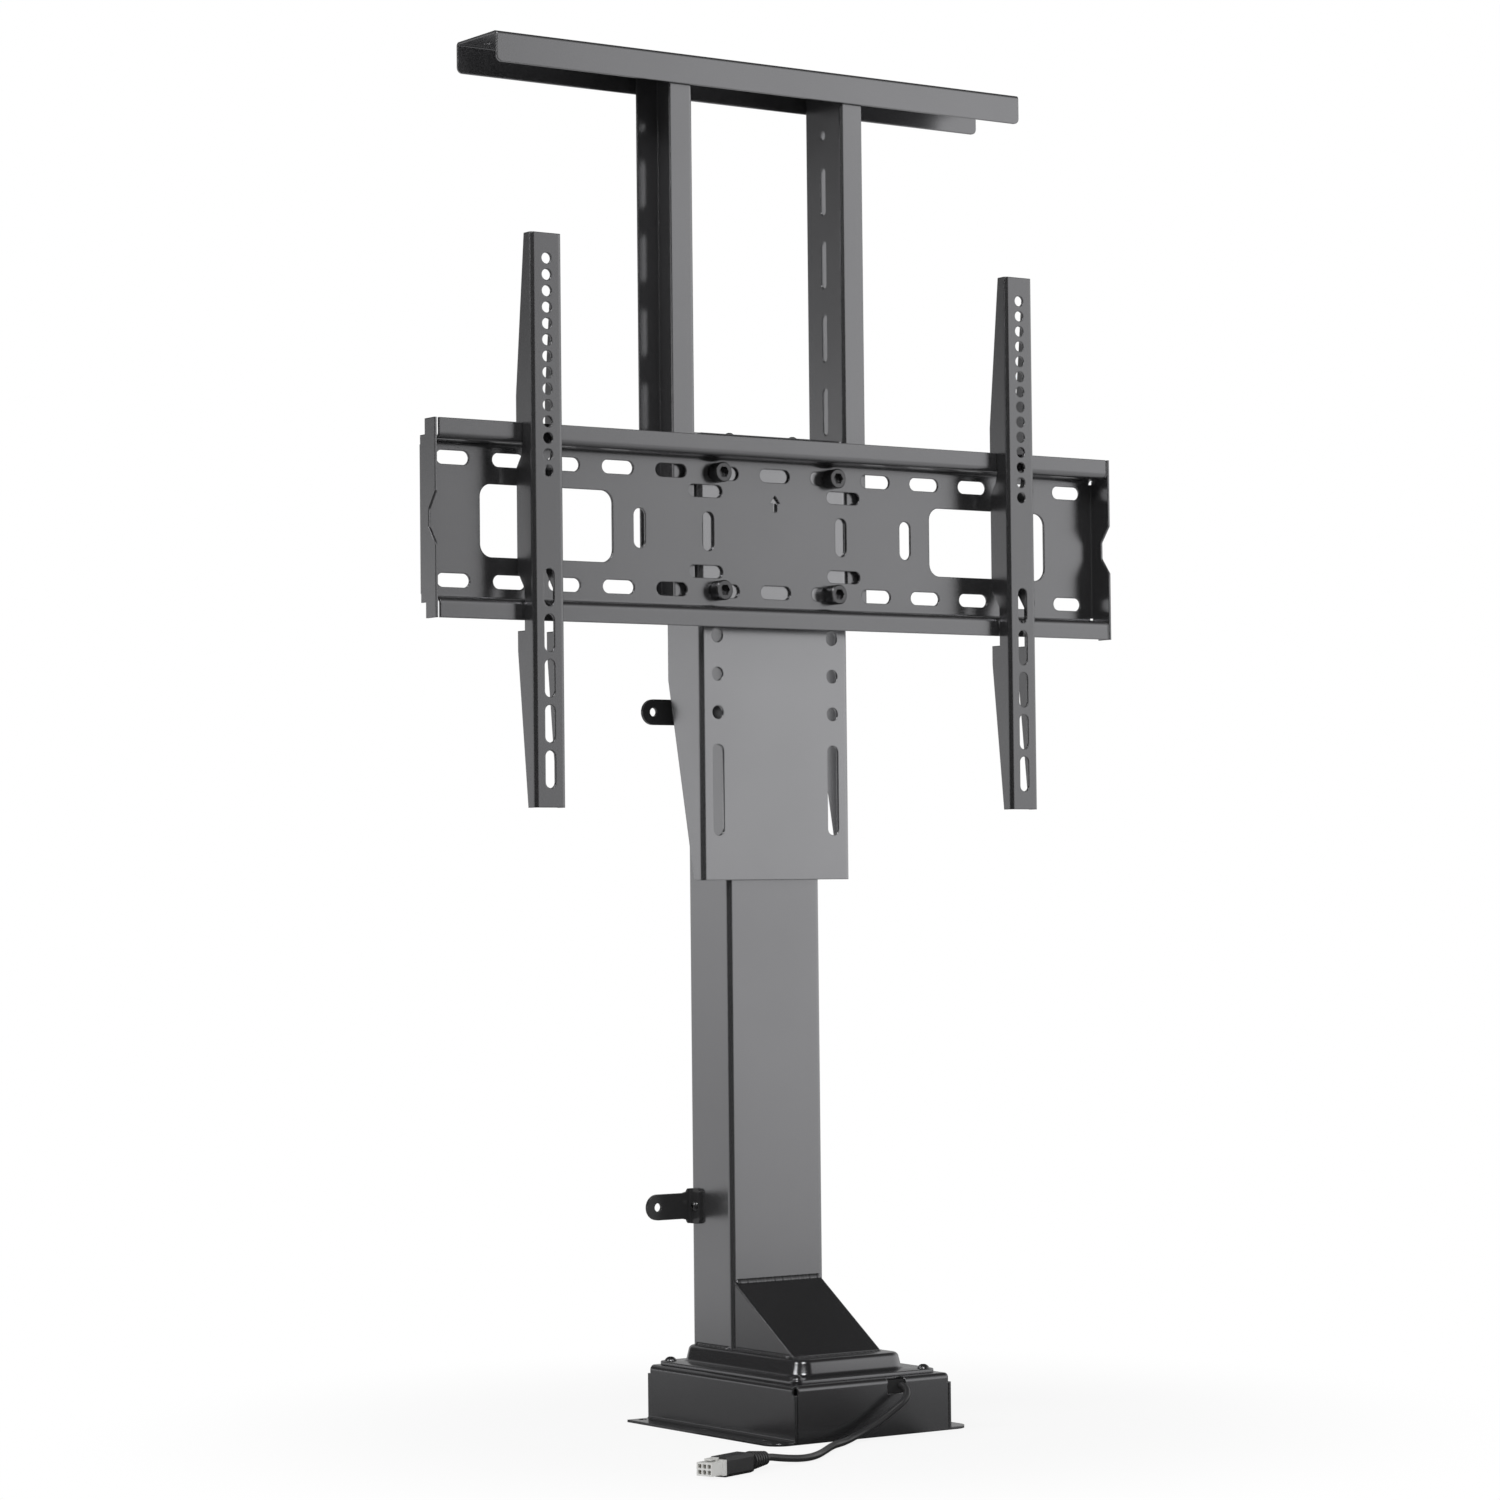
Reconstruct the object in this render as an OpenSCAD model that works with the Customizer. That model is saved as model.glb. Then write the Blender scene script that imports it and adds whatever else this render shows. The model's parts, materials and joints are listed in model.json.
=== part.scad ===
/* [Base housing] */
// Width of the base housing, left to right
base_w = 150; // [146:1:200]
// Depth of the base housing, front to back
base_d = 202; // [198:1:260]
// Height of the base housing
base_h = 44.5; // [44:0.5:60]
// Sheet thickness of the base housing
base_t = 2; // [1.5:0.1:2.4]
// Outer bend radius along the top edges of the housing
base_r = 4; // [3:0.5:6]
// Width of each foot flange
foot_w = 20; // [18:1:40]
// Radius of the front outer corners of the foot flanges
foot_r = 14; // [4:1:16]
// Diameter of the floor screw holes
foot_hole_d = 6.5; // [5:0.5:9]
// Distance between neighbouring floor screw holes
foot_hole_pitch = 84; // [60:1:86]
// Distance from the rear end of a flange to its rear hole
foot_hole_rear = 7; // [6:1:20]
// Width of the cord notch in the front wall
notch_w = 17; // [14:1:24]
// Height of the cord notch below the top of the housing
notch_h = 12; // [11:0.5:16]
// Distance of the cord notch's middle from the housing's middle
notch_x = 22; // [12:1:40]

/* [Cover and pedestal] */
// Thickness of the cover plate
cover_t = 3; // [2:0.5:4]
// Distance of the cover's edge from each side of the housing
cover_side = 6; // [4:0.5:8]
// Distance of the cover's edge from the front of the housing
cover_front = 9; // [6:0.5:14]
// Distance of the cover's edge from the back of the housing
cover_rear = 4; // [3:0.5:8]
// Corner radius of the cover plate
cover_r = 8; // [4:1:12]
// Height of the pressed pedestal above the cover plate
pedestal_h = 12.5; // [9:0.5:20]
// Horizontal run of the pedestal's sloped sides
pedestal_run = 4.5; // [4:0.5:6]
// Ledge of the pedestal's top around the column
pedestal_ledge = 2.5; // [2.5:0.5:4]
// Ledge of the pedestal's top in front of the brace
pedestal_front = 15; // [6:1:16]
// Head diameter of the cover screws
cover_screw_head = 10; // [8:0.5:12]

/* [Column stages] */
// Width of the outer column
col_w = 90; // [88:1:92]
// Depth of the outer column
col_d = 56; // [55:1:58]
// Wall thickness of the outer column
col_t = 2; // [1.5:0.1:2]
// Outer corner radius of the outer column
col_r = 4; // [3:0.5:5]
// Distance of the column's back from the back of the housing
col_rear = 20; // [10:1:30]
// Width of the middle column
mid_w = 80; // [78:1:82]
// Depth of the middle column
mid_d = 46; // [45:1:48]
// Wall thickness of the middle column
mid_t = 1.8; // [1.5:0.1:2]
// Width of the inner column
inn_w = 70; // [68:1:72]
// Depth of the inner column
inn_d = 36; // [35:1:38]
// Wall thickness of the inner column
inn_t = 1.8; // [1.5:0.1:2]
// Height of the glide pieces at the tube ends
glide_h = 34; // [24:1:50]

/* [Front brace] */
// Width of the brace
brace_w = 85; // [60:1:86]
// Depth of the brace in front of the column
brace_d = 80.5; // [60:0.5:84.5]
// Height of the brace
brace_h = 53; // [40:1:80]
// Sheet thickness of the brace
brace_t = 2.5; // [2:0.5:4]
// Leg length of the weld beads
weld = 2.5; // [1.5:0.1:2.5]

/* [Wall tabs] */
// Height of the lower tab's middle above the floor
tab_low_z = 171; // [150:1:260]
// Height of the upper tab's middle above the floor
tab_high_z = 566; // [300:1:600]
// Reach of a tab's round end from the side of the column
tab_reach = 44; // [30:1:70]
// Height of a tab's strap
tab_h = 20.5; // [16:0.5:24]
// Height of a tab's foot on the column
tab_foot_h = 28; // [25:1:34]
// Length of a tab's foot along the column's side
tab_foot_l = 16; // [14:1:20]
// Thickness of a tab
tab_t = 3; // [2:0.5:4]
// Diameter of a tab's wall screw hole
tab_hole_d = 7; // [5:0.5:9]

/* [Carriage] */
// Height of the carriage's top face above the floor
car_top = 786; // [780:1:900]
// Width of the carriage
car_w = 145; // [143:1:160]
// Height of the carriage
car_h = 355; // [340:1:380]
// Sheet thickness of the carriage
car_t = 2.5; // [2:0.5:2.5]
// Outer bend radius of the carriage
car_r = 4; // [3.5:0.5:5]
// Gap between the carriage's front plate and the outer column
car_gap = 2; // [1:0.5:4]
// Full depth of the carriage's side flanges, front plate included
car_d = 45.5; // [44:0.5:50]
// Depth left of the side flanges at their lower end
car_tip = 11.5; // [5:0.5:16]
// Height over which the side flanges taper
car_taper = 160; // [120:1:180]
// Diameter of the round mounting holes
car_hole_d = 10.5; // [10.5:0.1:12]
// Distance between the two columns of mounting holes
car_hole_gap = 112; // [110:1:114]
// Height of the highest open mounting hole
car_hole_z = 625; // [616:1:630]
// Vertical pitch of the open mounting holes
car_hole_pitch = 30.5; // [26:0.5:31]
// Length of the two long slots
car_slot_l = 72; // [40:1:76]
// Height of the long slots' middle
car_slot_z = 502.5; // [490:0.5:506]

/* [TV plate] */
// Length of the plate
plate_l = 658; // [650:1:700]
// Height of the plate over both lips
plate_h = 151; // [148:1:156]
// Depth of the plate
plate_d = 24.5; // [23:0.5:26]
// Sheet thickness of the plate
plate_t = 2; // [1.5:0.1:2.2]
// Height of the plate's middle above the floor
plate_z = 705.5; // [703:0.1:707]
// Height of the cut-outs' middle above the plate's middle
cut_up = 1.5; // [0:0.1:2]
// Height of each lip in front of the shelf
lip_h = 14; // [12:0.5:15]
// Pitch of the slots along a row
slot_pitch = 50; // [50:1:52]
// Distance between the two rows of slots
slot_rows = 93.6; // [90:0.1:96]
// Length of each row slot
slot_l = 29.3; // [24:0.1:32]
// Width of each row slot
slot_w = 10.7; // [10.5:0.1:12.5]
// Width of each window
window_w = 121; // [100:0.5:124]
// Height of each window
window_h = 56.1; // [40:0.1:60]
// Distance of each window's middle from the plate's middle
window_x = 215.5; // [212:0.5:218]
// Diameter of the plate bolts
bolt_d = 10; // [8:1:10]

/* [Screen arms] */
// Length of an arm
arm_l = 438.5; // [420:0.5:470]
// Width of an arm
arm_w = 28; // [24:1:32]
// Full depth of an arm's side flanges
arm_d = 23; // [21:0.5:24]
// Sheet thickness of an arm
arm_t = 2; // [1.5:0.1:2.5]
// Height of the arm's top above the plate's upper lip
arm_up = 144.5; // [136:0.5:160]
// Diameter of the round holes
arm_hole_d = 8.5; // [7:0.1:10]
// Pitch of the round holes
arm_hole_pitch = 12.5; // [12:0.5:13]
// Distance of the left arm's middle from the plate's left end
arm_left_in = 91.5; // [40:0.5:215]
// Distance of the right arm's middle from the plate's right end
arm_right_in = 106.5; // [55:0.5:215]

/* [Lid frame] */
// Height of the top bracket's upper face above the floor
lid_top = 1086; // [1060:1:1110]
// Length of the top bracket
lid_l = 512; // [400:1:640]
// Depth of the top bracket
lid_d = 60; // [58:1:66]
// Height of the top bracket's flanges
lid_h = 24; // [18:0.5:26]
// Sheet thickness of the lid frame
lid_t = 2; // [1.5:0.1:2.5]
// Depth of an upright
up_d = 49; // [46:1:52]
// Width of an upright's flanges
up_w = 21.5; // [18:0.5:30]
// Height of the uprights' lower ends above the floor
up_bottom = 645; // [636:1:656]
// Length of an upright's slots
up_slot_l = 38.5; // [36:0.5:42]
// Pitch of an upright's slots
up_slot_pitch = 60; // [58:1:60]
// Diameter of the bolts that clamp the uprights
up_bolt_d = 6; // [5:0.5:6]

/* [Drive] */
// Stroke of each telescopic stage
stroke = 450; // [300:1:460]
// Outer diameter of the lower screw
low_screw_d = 14; // [13.5:0.1:14]
// Outer diameter of the upper screw
up_screw_d = 20; // [19.5:0.1:20.5]
// Width across the flats of the drive rod
rod_af = 7; // [6:0.5:7.5]
// Distance from the screw's axis to the worm's axis
worm_cd = 24; // [23.5:0.1:24.4]
// Outer radius of the worm wheel
wheel_r = 17.8; // [17.3:0.1:18]
// Number of teeth of the worm wheel
wheel_teeth = 24; // [18:1:30]
// Diameter of the motor
motor_d = 36; // [30:1:37]
// Length of the motor's can
motor_l = 62; // [50:1:70]

/* [Cord] */
// Diameter of the control cord
cord_d = 5.4; // [4.4:0.2:5.8]
// Width of the connector's moulded body
mould_w = 17; // [16:0.5:20]
// Height of the connector's moulded body
mould_h = 14.4; // [14:0.2:16]
// Length of the moulded body without its ribbed tail
mould_l = 36; // [26:1:40]
// Length of the ribbed tail
tail_l = 20; // [16:1:24]
// Pitch of the connector's terminals
pin_pitch = 4.2; // [4:0.1:4.4]

/* [Hidden] */
$fn = 48;

// Overshoot of every cut
e = 0.5;
// Clearance of seated pieces on one body
seat = 0.05;
// Running clearance of a glide on its tube, each side
glide_fit = 0.15;
// Running clearance of a shaft, on the radius
shaft_fit = 0.05;
// Clearance of a screw in its hole, on the diameter
hole_play = 0.5;

// Levels of the base
cover_z = base_h + cover_t;
col_z = cover_z + pedestal_h;
// Middle and front of the column, from the middle of the housing
col_y = base_d / 2 - col_rear - col_d / 2;
col_front = col_y - col_d / 2;
col_back = col_y + col_d / 2;
// Cover plate's outline
cover_w = base_w - 2 * cover_side;
cover_d = base_d - cover_front - cover_rear;
cover_y = (cover_front - cover_rear) / 2;
cover_screw_in = 8;
cover_screw_d = 5;
// Pedestal's lower outline
ped_w = col_w + 2 * (pedestal_ledge + pedestal_run);
ped_back = col_back + pedestal_ledge + pedestal_run;
ped_front = col_front - brace_d - pedestal_front - pedestal_run;
ped_d = ped_back - ped_front;
ped_y = (ped_back + ped_front) / 2;
ped_r = 13;
ped_hole_d = 36;
// Corner reliefs and seams of the folded housing
relief_w = 3.5;
relief_h = 7;
seam = 0.6;

// Levels of the column's head
head_t = 8;
head_gap = 1;
collar_t = 3;
head_top = car_top - car_t;
head_z = head_top - head_t;
mid_top = head_z - head_gap;
col_top = mid_top - head_gap;
// Levels of the middle column's foot and of what turns in it
nut_t = 6;
nut_l = 22;
mid_z = col_z + 6 + nut_t;
foot_h = 34;
mid_brg = [up_screw_d, 32, 7];
screw_z = mid_z + foot_h - mid_brg.z;
flange_t = 3;
// Level of the inner column's lower end
inn_z = mid_z + foot_h + 6;

// Carriage levels and planes
car_z = car_top - car_h;
car_front = col_front - car_gap - car_t;
car_side = car_w / 2 - car_t;
car_back = car_front + car_d;
flap_r = 4;

// TV plate planes
web_back = car_front;
cut_z = plate_z + cut_up;
web_front = web_back - plate_t;
lip_front = web_back - plate_d;
lip_back = lip_front + plate_t;
lip_top = plate_z + plate_h / 2;
lip_low = plate_z - plate_h / 2;
shelf_z = lip_top - lip_h;
shelf_low = lip_low + lip_h;
plate_rc = 2;
lip_rc = 4;
plate_gap = 2;
strip_d = 14.5;
// Tall slots of the plate, singly and in pairs
tall_l = 31.2;
tall_w = 11;
tall_x = 1.3 * slot_pitch;
pair_l = 32.6;
pair_w = 10;
pair_x = 67.5;
pair_up = 32;
bolt_x = car_hole_gap / 2;
bolt_head_d = 1.6 * bolt_d;
bolt_head_h = bolt_d;
bolt_nut_af = 1.7 * bolt_d;
bolt_nut_h = 0.8 * bolt_d;

// Arm planes
arm_clear = 0.5;
arm_reach = 14.5;
arm_front = lip_front - arm_reach;
arm_back = arm_front + arm_d;
arm_top = lip_top + arm_up;
arm_low = arm_top - arm_l;
arm_left_x = -plate_l / 2 + arm_left_in;
arm_right_x = plate_l / 2 - arm_right_in;
// Depth left at both tips of an arm, and heights of its side's corners from the plate's lips
arm_tip = 10;
taper_low = 23;
catch_low = 8;
seat_low = 24;
seat_top = 38;
neck_low = 20;
neck_top = 11;
hook_seat = 3;
hook_low = 4;
hook_root = 6;
shoulder = 21;
arm_holes = 14;
arm_hole_top = 19.5;
arm_slots = 5;
arm_slot_top = 271;
arm_slot_l = 28.6;
arm_slot_w = 9;
arm_slot_pitch = 34.6;

// Lid frame planes
up_y = car_front + 27.5;
up_top = lid_top - lid_t;
up_slot_w = up_bolt_d + 0.6;
up_slots = 6;
up_slot_top = lid_top - 93.4;
lid_gap = 1;
lid_y = up_y - up_d / 2 - lid_t - lid_gap + lid_d / 2;
lid_ear_r = 4.5;
// Bolts that clamp the uprights
up_head_af = 1.7 * up_bolt_d - 0.2;
up_head_h = 4;
up_nut_h = 5;
up_tail = 2;
lid_hole_in = 18;
lid_hole_gap = 27;

// Drive levels
wheel_z = 21;
wheel_t = 10;
worm_r = worm_cd - wheel_r - 0.2;
shaft_d = low_screw_d - 2;
box_left = -24;
box_right = worm_cd + 14;
box_half = 27;
box_z = 2.5;
box_split = 28;
box_top = base_h - base_t;
foot_brg = [10, 26, 8];
thrust_brg = [shaft_d, 32, 10];
low_screw_top = screw_z + stroke + 54;
up_screw_top = inn_z + glide_h + stroke + 30;
up_cap = 12;
rod_z = screw_z - 12;
bore_z = rod_z - 5;
box_screws = [[box_left + 5, -box_half + 5], [box_left + 5, box_half - 5],
    [box_right - 4, -box_half + 5], [box_right - 4, box_half - 5]];
motor_front = col_y - box_half;
motor_back = motor_front - motor_l;
cap_l = 12;

// Control cord, from the grommet to the ribbed tail
cord_out = [notch_x + 4.8, -base_d / 2 + 7, base_h - 6.3];
cord_floor = cord_d / 2 + 0.05;
plug_z = mould_h / 2 + 0.05;
cord_points = [[26.8, -93, 37.5], [26.8, -96.4, 37.5], [26.8, -99.6, 37.5], [26.9, -103.7, 36.4],
    [26.2, -107.1, 34.5], [24.6, -109.9, 32.2], [22.2, -111.8, 29.8], [19.2, -112.8, 27.4],
    [15.9, -113, 25.2], [9.2, -112.6, 21.1], [2.5, -112.3, 17.3], [-4.4, -112.2, 13.7],
    [-11.5, -112, 10.4], [-18.8, -111.9, 7.4], [-26.2, -112.9, 5], [-33.6, -115.3, 3.4],
    [-40.5, -119.2, 2.8], [-46.9, -123.9, 2.8], [-53.5, -128.1, 2.8], [-60.3, -132, 2.8],
    [-69.9, -139.5, 2.8], [-78.8, -147.5, 2.8], [-87.6, -155.6, 2.8], [-96.6, -163.6, 2.8],
    [-106, -171, 2.8], [-116.3, -177, 2.8], [-127.5, -180.8, 3.2], [-139.2, -182.5, 4.3],
    [-149.4, -183.8, 5.7], [-156.2, -184.8, 6.8], [-161, -186, 7.3], [-165.7, -187.6, 7.3]];
cord_air = 16;
// Length of the connector's pale housing in front of its mould
plug_l = 17;

function unit(v) = v / norm(v);

// Keeps the chosen route on the floor and at both of its ends
function lay(p, i) = [p.x + cord_out.x - 26.8, p.y + cord_out.y + 93,
    cord_floor + (p.z - 2.8) * (i < cord_air ? (cord_out.z - cord_floor) / 34.7
        : (plug_z - cord_floor) / 4.5)];
cord_route = [for (i = [0:len(cord_points) - 1]) lay(cord_points[i], i)];
cord_end = cord_route[len(cord_route) - 1];
cord_last = cord_end - cord_route[len(cord_route) - 2];
// Heading of the connector, from +X
plug_turn = atan2(cord_last.y, cord_last.x);

// Direction of a route at point i
function heading(p, i) = i == 0 ? unit(p[1] - p[0])
    : i == len(p) - 1 ? unit(p[i] - p[i - 1])
    : unit(unit(p[i + 1] - p[i]) + unit(p[i] - p[i - 1]));

// Side vectors carried along a route without twist
function sides(p, i, n) = i == len(p) ? []
    : let (t = heading(p, i), m = unit(n - (n * t) * t)) concat([m], sides(p, i + 1, m));

// Round cord of diameter d with k sides along route p
module tube(p, d, k) {
    s = sides(p, 0, [0, 0, 1]);
    n = len(p);
    ring = [for (i = [0:n - 1], j = [0:k - 1])
        let (t = heading(p, i), a = 360 * (j + 0.5) / k)
        p[i] + d / 2 * (cos(a) * s[i] + sin(a) * cross(t, s[i]))];
    skin = [for (i = [0:n - 2], j = [0:k - 1])
        let (q = (j + 1) % k) [i * k + q, i * k + j, (i + 1) * k + j, (i + 1) * k + q]];
    polyhedron(ring, concat([[for (j = [0:k - 1]) j]],
        [[for (j = [0:k - 1]) n * k - 1 - j]], skin), convexity = 10);
}

// Rectangle with round corners, centred
module rrect(w, d, r) {
    square([w - 2 * r, d], center = true);
    square([w, d - 2 * r], center = true);
    for (x = [-1, 1], y = [-1, 1])
        translate([x * (w / 2 - r), y * (d / 2 - r)]) circle(r);
}

module rbox(w, d, h, r) {
    linear_extrude(h) rrect(w, d, r);
}

// Slot outline of overall length l along X
module stadium(l, w) {
    square([l - w, w], center = true);
    for (x = [-1, 1]) translate([x * (l - w) / 2, 0]) circle(w / 2);
}

// Extrudes an outline drawn in X and Z from y0 to y1
module along_y(y0, y1) {
    translate([0, y1, 0]) rotate([90, 0, 0]) linear_extrude(y1 - y0) children();
}

// Extrudes an outline drawn in Y and Z from x0 to x1
module along_x(x0, x1) {
    translate([x0, 0, 0]) rotate([90, 0, 90]) linear_extrude(x1 - x0) children();
}

// Puts its children on the left and on the right
module both_sides() {
    children();
    mirror([1, 0, 0]) children();
}

// Folded U outline: web along y = 0, both flanges towards +Y
module u_outline(w, d, t, r) {
    difference() {
        union() {
            translate([-w / 2, r]) square([w, d - r]);
            translate([-w / 2 + r, 0]) square([w - 2 * r, r + 1]);
            for (x = [-1, 1]) translate([x * (w / 2 - r), r]) circle(r);
        }
        translate([-w / 2 + t, r]) square([w - 2 * t, d]);
        translate([-w / 2 + r, t]) square([w - 2 * r, d]);
        for (x = [-1, 1]) translate([x * (w / 2 - r), r]) circle(r - t);
    }
}

// Outline of a sheet folded square, p on its middle line and rc its bend radius there
module folded(p, t, rc) {
    n = len(p);
    for (i = [0:n - 2]) {
        d = unit(p[i + 1] - p[i]);
        s = [-d.y, d.x] * t / 2;
        a = p[i] + (i > 0 ? rc : 0) * d;
        b = p[i + 1] - (i < n - 2 ? rc : 0) * d;
        polygon([a + s, b + s, b - s, a - s]);
    }
    for (i = [1:n - 2]) {
        u = unit(p[i] - p[i - 1]);
        w = unit(p[i + 1] - p[i]);
        c = p[i] + rc * (w - u);
        l = rc + t;
        intersection() {
            translate(c) difference() {
                circle(rc + t / 2);
                circle(rc - t / 2);
            }
            polygon([c, c - l * w, c - l * w + l * u, c + l * u]);
        }
    }
}

// Tube of rectangular section
module rtube(w, d, h, t, r) {
    linear_extrude(h) difference() {
        rrect(w, d, r);
        rrect(w - 2 * t, d - 2 * t, r - t);
    }
}

// Frustum on a round-cornered rectangle, each side leaning in by run
module frustum(w, d, h, r, run) {
    along_y(-d / 2 + r, d / 2 - r)
        polygon([[-w / 2, 0], [w / 2, 0], [w / 2 - run, h], [-w / 2 + run, h]]);
    along_x(-w / 2 + r, w / 2 - r)
        polygon([[-d / 2, 0], [d / 2, 0], [d / 2 - run, h], [-d / 2 + run, h]]);
    for (x = [-1, 1], y = [-1, 1])
        translate([x * (w / 2 - r), y * (d / 2 - r), 0]) cylinder(h = h, r1 = r, r2 = r - run);
}

module hex(af, h) {
    cylinder(h = h, d = af / cos(30), $fn = 6);
}

module hex_nut(af, h, bore) {
    difference() {
        intersection() {
            hex(af, h);
            translate([0, 0, -h / 2]) cylinder(h = 2 * h, d = af * 1.11);
        }
        translate([0, 0, -e]) cylinder(h = h + 2 * e, d = bore);
    }
}

// Button head with a hex socket, flat underside at z = 0
module button_head(d, h, socket) {
    ball = (d * d / 4 + h * h) / (2 * h);
    difference() {
        intersection() {
            translate([0, 0, h - ball]) sphere(ball);
            cylinder(h = h, d = d + 1);
        }
        translate([0, 0, h * 0.45]) hex(socket, h);
    }
}

// Socket head on z = 0 with a small bevel
module socket_head(d, h, socket) {
    difference() {
        union() {
            cylinder(h = h - 0.8, d = d);
            translate([0, 0, h - 0.8]) cylinder(h = 0.8, d1 = d, d2 = d - 1.6);
        }
        translate([0, 0, h / 2]) hex(socket, h);
    }
}

// Ball bearing drawn whole, b its bore, outer diameter and width
module bearing(b) {
    mid = (b.x + b.y) / 4;
    difference() {
        cylinder(h = b.z, d = b.y);
        translate([0, 0, -e]) cylinder(h = b.z + 2 * e, d = b.x + 2 * shaft_fit);
        for (z = [-e, b.z - 1]) translate([0, 0, z]) difference() {
            cylinder(h = 1 + e, r = mid + 1.5);
            translate([0, 0, -e]) cylinder(h = 1 + 3 * e, r = mid - 1.5);
        }
    }
}

module at_cover_screws() {
    for (x = [-1, 1], y = [-1, 1])
        translate([x * (cover_w / 2 - cover_screw_in), cover_y + y * (cover_d / 2 - cover_screw_in), 0])
            children();
}

module at_box_screws() {
    for (p = box_screws) translate([p.x, col_y + p.y, 0]) children();
}

// Outer form of the folded housing, its top edges round
module housing_form(w, d, h, r) {
    intersection() {
        along_y(-d / 2, d / 2) {
            translate([-w / 2, 0]) square([w, h - r]);
            translate([-w / 2 + r, 0]) square([w - 2 * r, h]);
            for (x = [-1, 1]) translate([x * (w / 2 - r), h - r]) circle(r);
        }
        along_x(-w / 2, w / 2) {
            translate([-d / 2, 0]) square([d, h - r]);
            translate([-d / 2 + r, 0]) square([d - 2 * r, h]);
            for (y = [-1, 1]) translate([y * (d / 2 - r), h - r]) circle(r);
        }
    }
}

module foot_flange() {
    inner = 1.5;
    difference() {
        union() {
            translate([base_w / 2 - base_t, -base_d / 2, 0])
                cube([foot_w + base_t - foot_r, base_d, base_t]);
            translate([base_w / 2 - base_t, -base_d / 2 + foot_r, 0])
                cube([foot_w + base_t, base_d - foot_r, base_t]);
            translate([base_w / 2 + foot_w - foot_r, -base_d / 2 + foot_r, 0])
                cylinder(h = base_t, r = foot_r);
            along_y(-base_d / 2, base_d / 2) difference() {
                translate([base_w / 2 - e, base_t - e]) square(inner + e);
                translate([base_w / 2 + inner, base_t + inner]) circle(inner);
            }
        }
        for (i = [0:2])
            translate([base_w / 2 + foot_w / 2, base_d / 2 - foot_hole_rear - i * foot_hole_pitch, -e])
                cylinder(h = base_t + 2 * e, d = foot_hole_d);
    }
}

module base_housing() {
    color("dimgray") difference() {
        union() {
            difference() {
                housing_form(base_w, base_d, base_h, base_r);
                translate([0, 0, -e])
                    housing_form(base_w - 2 * base_t, base_d - 2 * base_t, base_h - base_t + e,
                        base_r - base_t);
            }
            both_sides() foot_flange();
        }
        for (x = [-1, 1], y = [-1, 1]) {
            translate([x * base_w / 2, y * base_d / 2, base_h])
                cube([2 * relief_w, 2 * relief_w, 2 * relief_h], center = true);
            translate([x * (base_w / 2 - base_t - seam / 2), y * base_d / 2, base_h / 2])
                cube([seam, 2 * base_t + 2 * e, base_h + 2 * e], center = true);
        }
        translate([notch_x - notch_w / 2, -base_d / 2 - e, base_h - notch_h])
            cube([notch_w, base_r + 3, notch_h + e]);
        translate([0, col_y, base_h - base_t - e]) cylinder(h = base_t + 2 * e, d = ped_hole_d);
        at_cover_screws() translate([0, 0, base_h - base_t - e])
            cylinder(h = base_t + 2 * e, d = cover_screw_d + 2 * seat);
        at_box_screws() translate([0, 0, base_h - base_t - e])
            cylinder(h = base_t + 2 * e, d = cover_screw_d + hole_play);
    }
}

module base_cover() {
    // pressed edge of the pedestal, as pairs of run and rise
    edge = [[0.45, 1.5], [0.8, 1.1], [1.2, 0.6]];
    runs = [0, edge[0].x, edge[0].x + edge[1].x, edge[0].x + edge[1].x + edge[2].x];
    rises = [0, edge[0].y, edge[0].y + edge[1].y, edge[0].y + edge[1].y + edge[2].y];
    low = [pedestal_run - runs[3], pedestal_h - rises[3]];
    color("dimgray") translate([0, 0, base_h]) difference() {
        union() {
            translate([0, cover_y, 0]) rbox(cover_w, cover_d, cover_t, cover_r);
            translate([0, ped_y, cover_t]) {
                frustum(ped_w, ped_d, low.y, ped_r, low.x);
                for (i = [0:2]) translate([0, 0, low.y + rises[i]])
                    frustum(ped_w - 2 * (low.x + runs[i]), ped_d - 2 * (low.x + runs[i]),
                        edge[i].y, ped_r - low.x - runs[i], edge[i].x);
            }
        }
        translate([0, ped_y, -e])
            frustum(ped_w - 2 * cover_t - 1, ped_d - 2 * cover_t - 1, pedestal_h + e, ped_r - 2,
                pedestal_run);
        translate([0, col_y, 0]) cylinder(h = pedestal_h + cover_t + e, d = ped_hole_d);
        at_cover_screws() translate([0, 0, -e])
            cylinder(h = cover_t + 2 * e, d = cover_screw_d + hole_play);
    }
}

module cover_screws() {
    color("black") at_cover_screws() {
        translate([0, 0, cover_z]) button_head(cover_screw_head, 3.4, 3.6);
        translate([0, 0, base_h - base_t - 3]) cylinder(h = base_t + cover_t + 3, d = cover_screw_d);
    }
}

module at_tab_screws() {
    for (z = [tab_low_z, tab_high_z])
        translate([-col_w / 2, col_back - tab_foot_l / 2 - 1.5, z]) rotate([0, -90, 0]) children();
}

module outer_column() {
    color("gray") difference() {
        translate([0, col_y, col_z]) rtube(col_w, col_d, col_top - collar_t - col_z, col_t, col_r);
        at_tab_screws() translate([0, 0, -col_t - e])
            cylinder(h = col_t + 2 * e, d = cover_screw_d + 2 * seat);
    }
}

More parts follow.
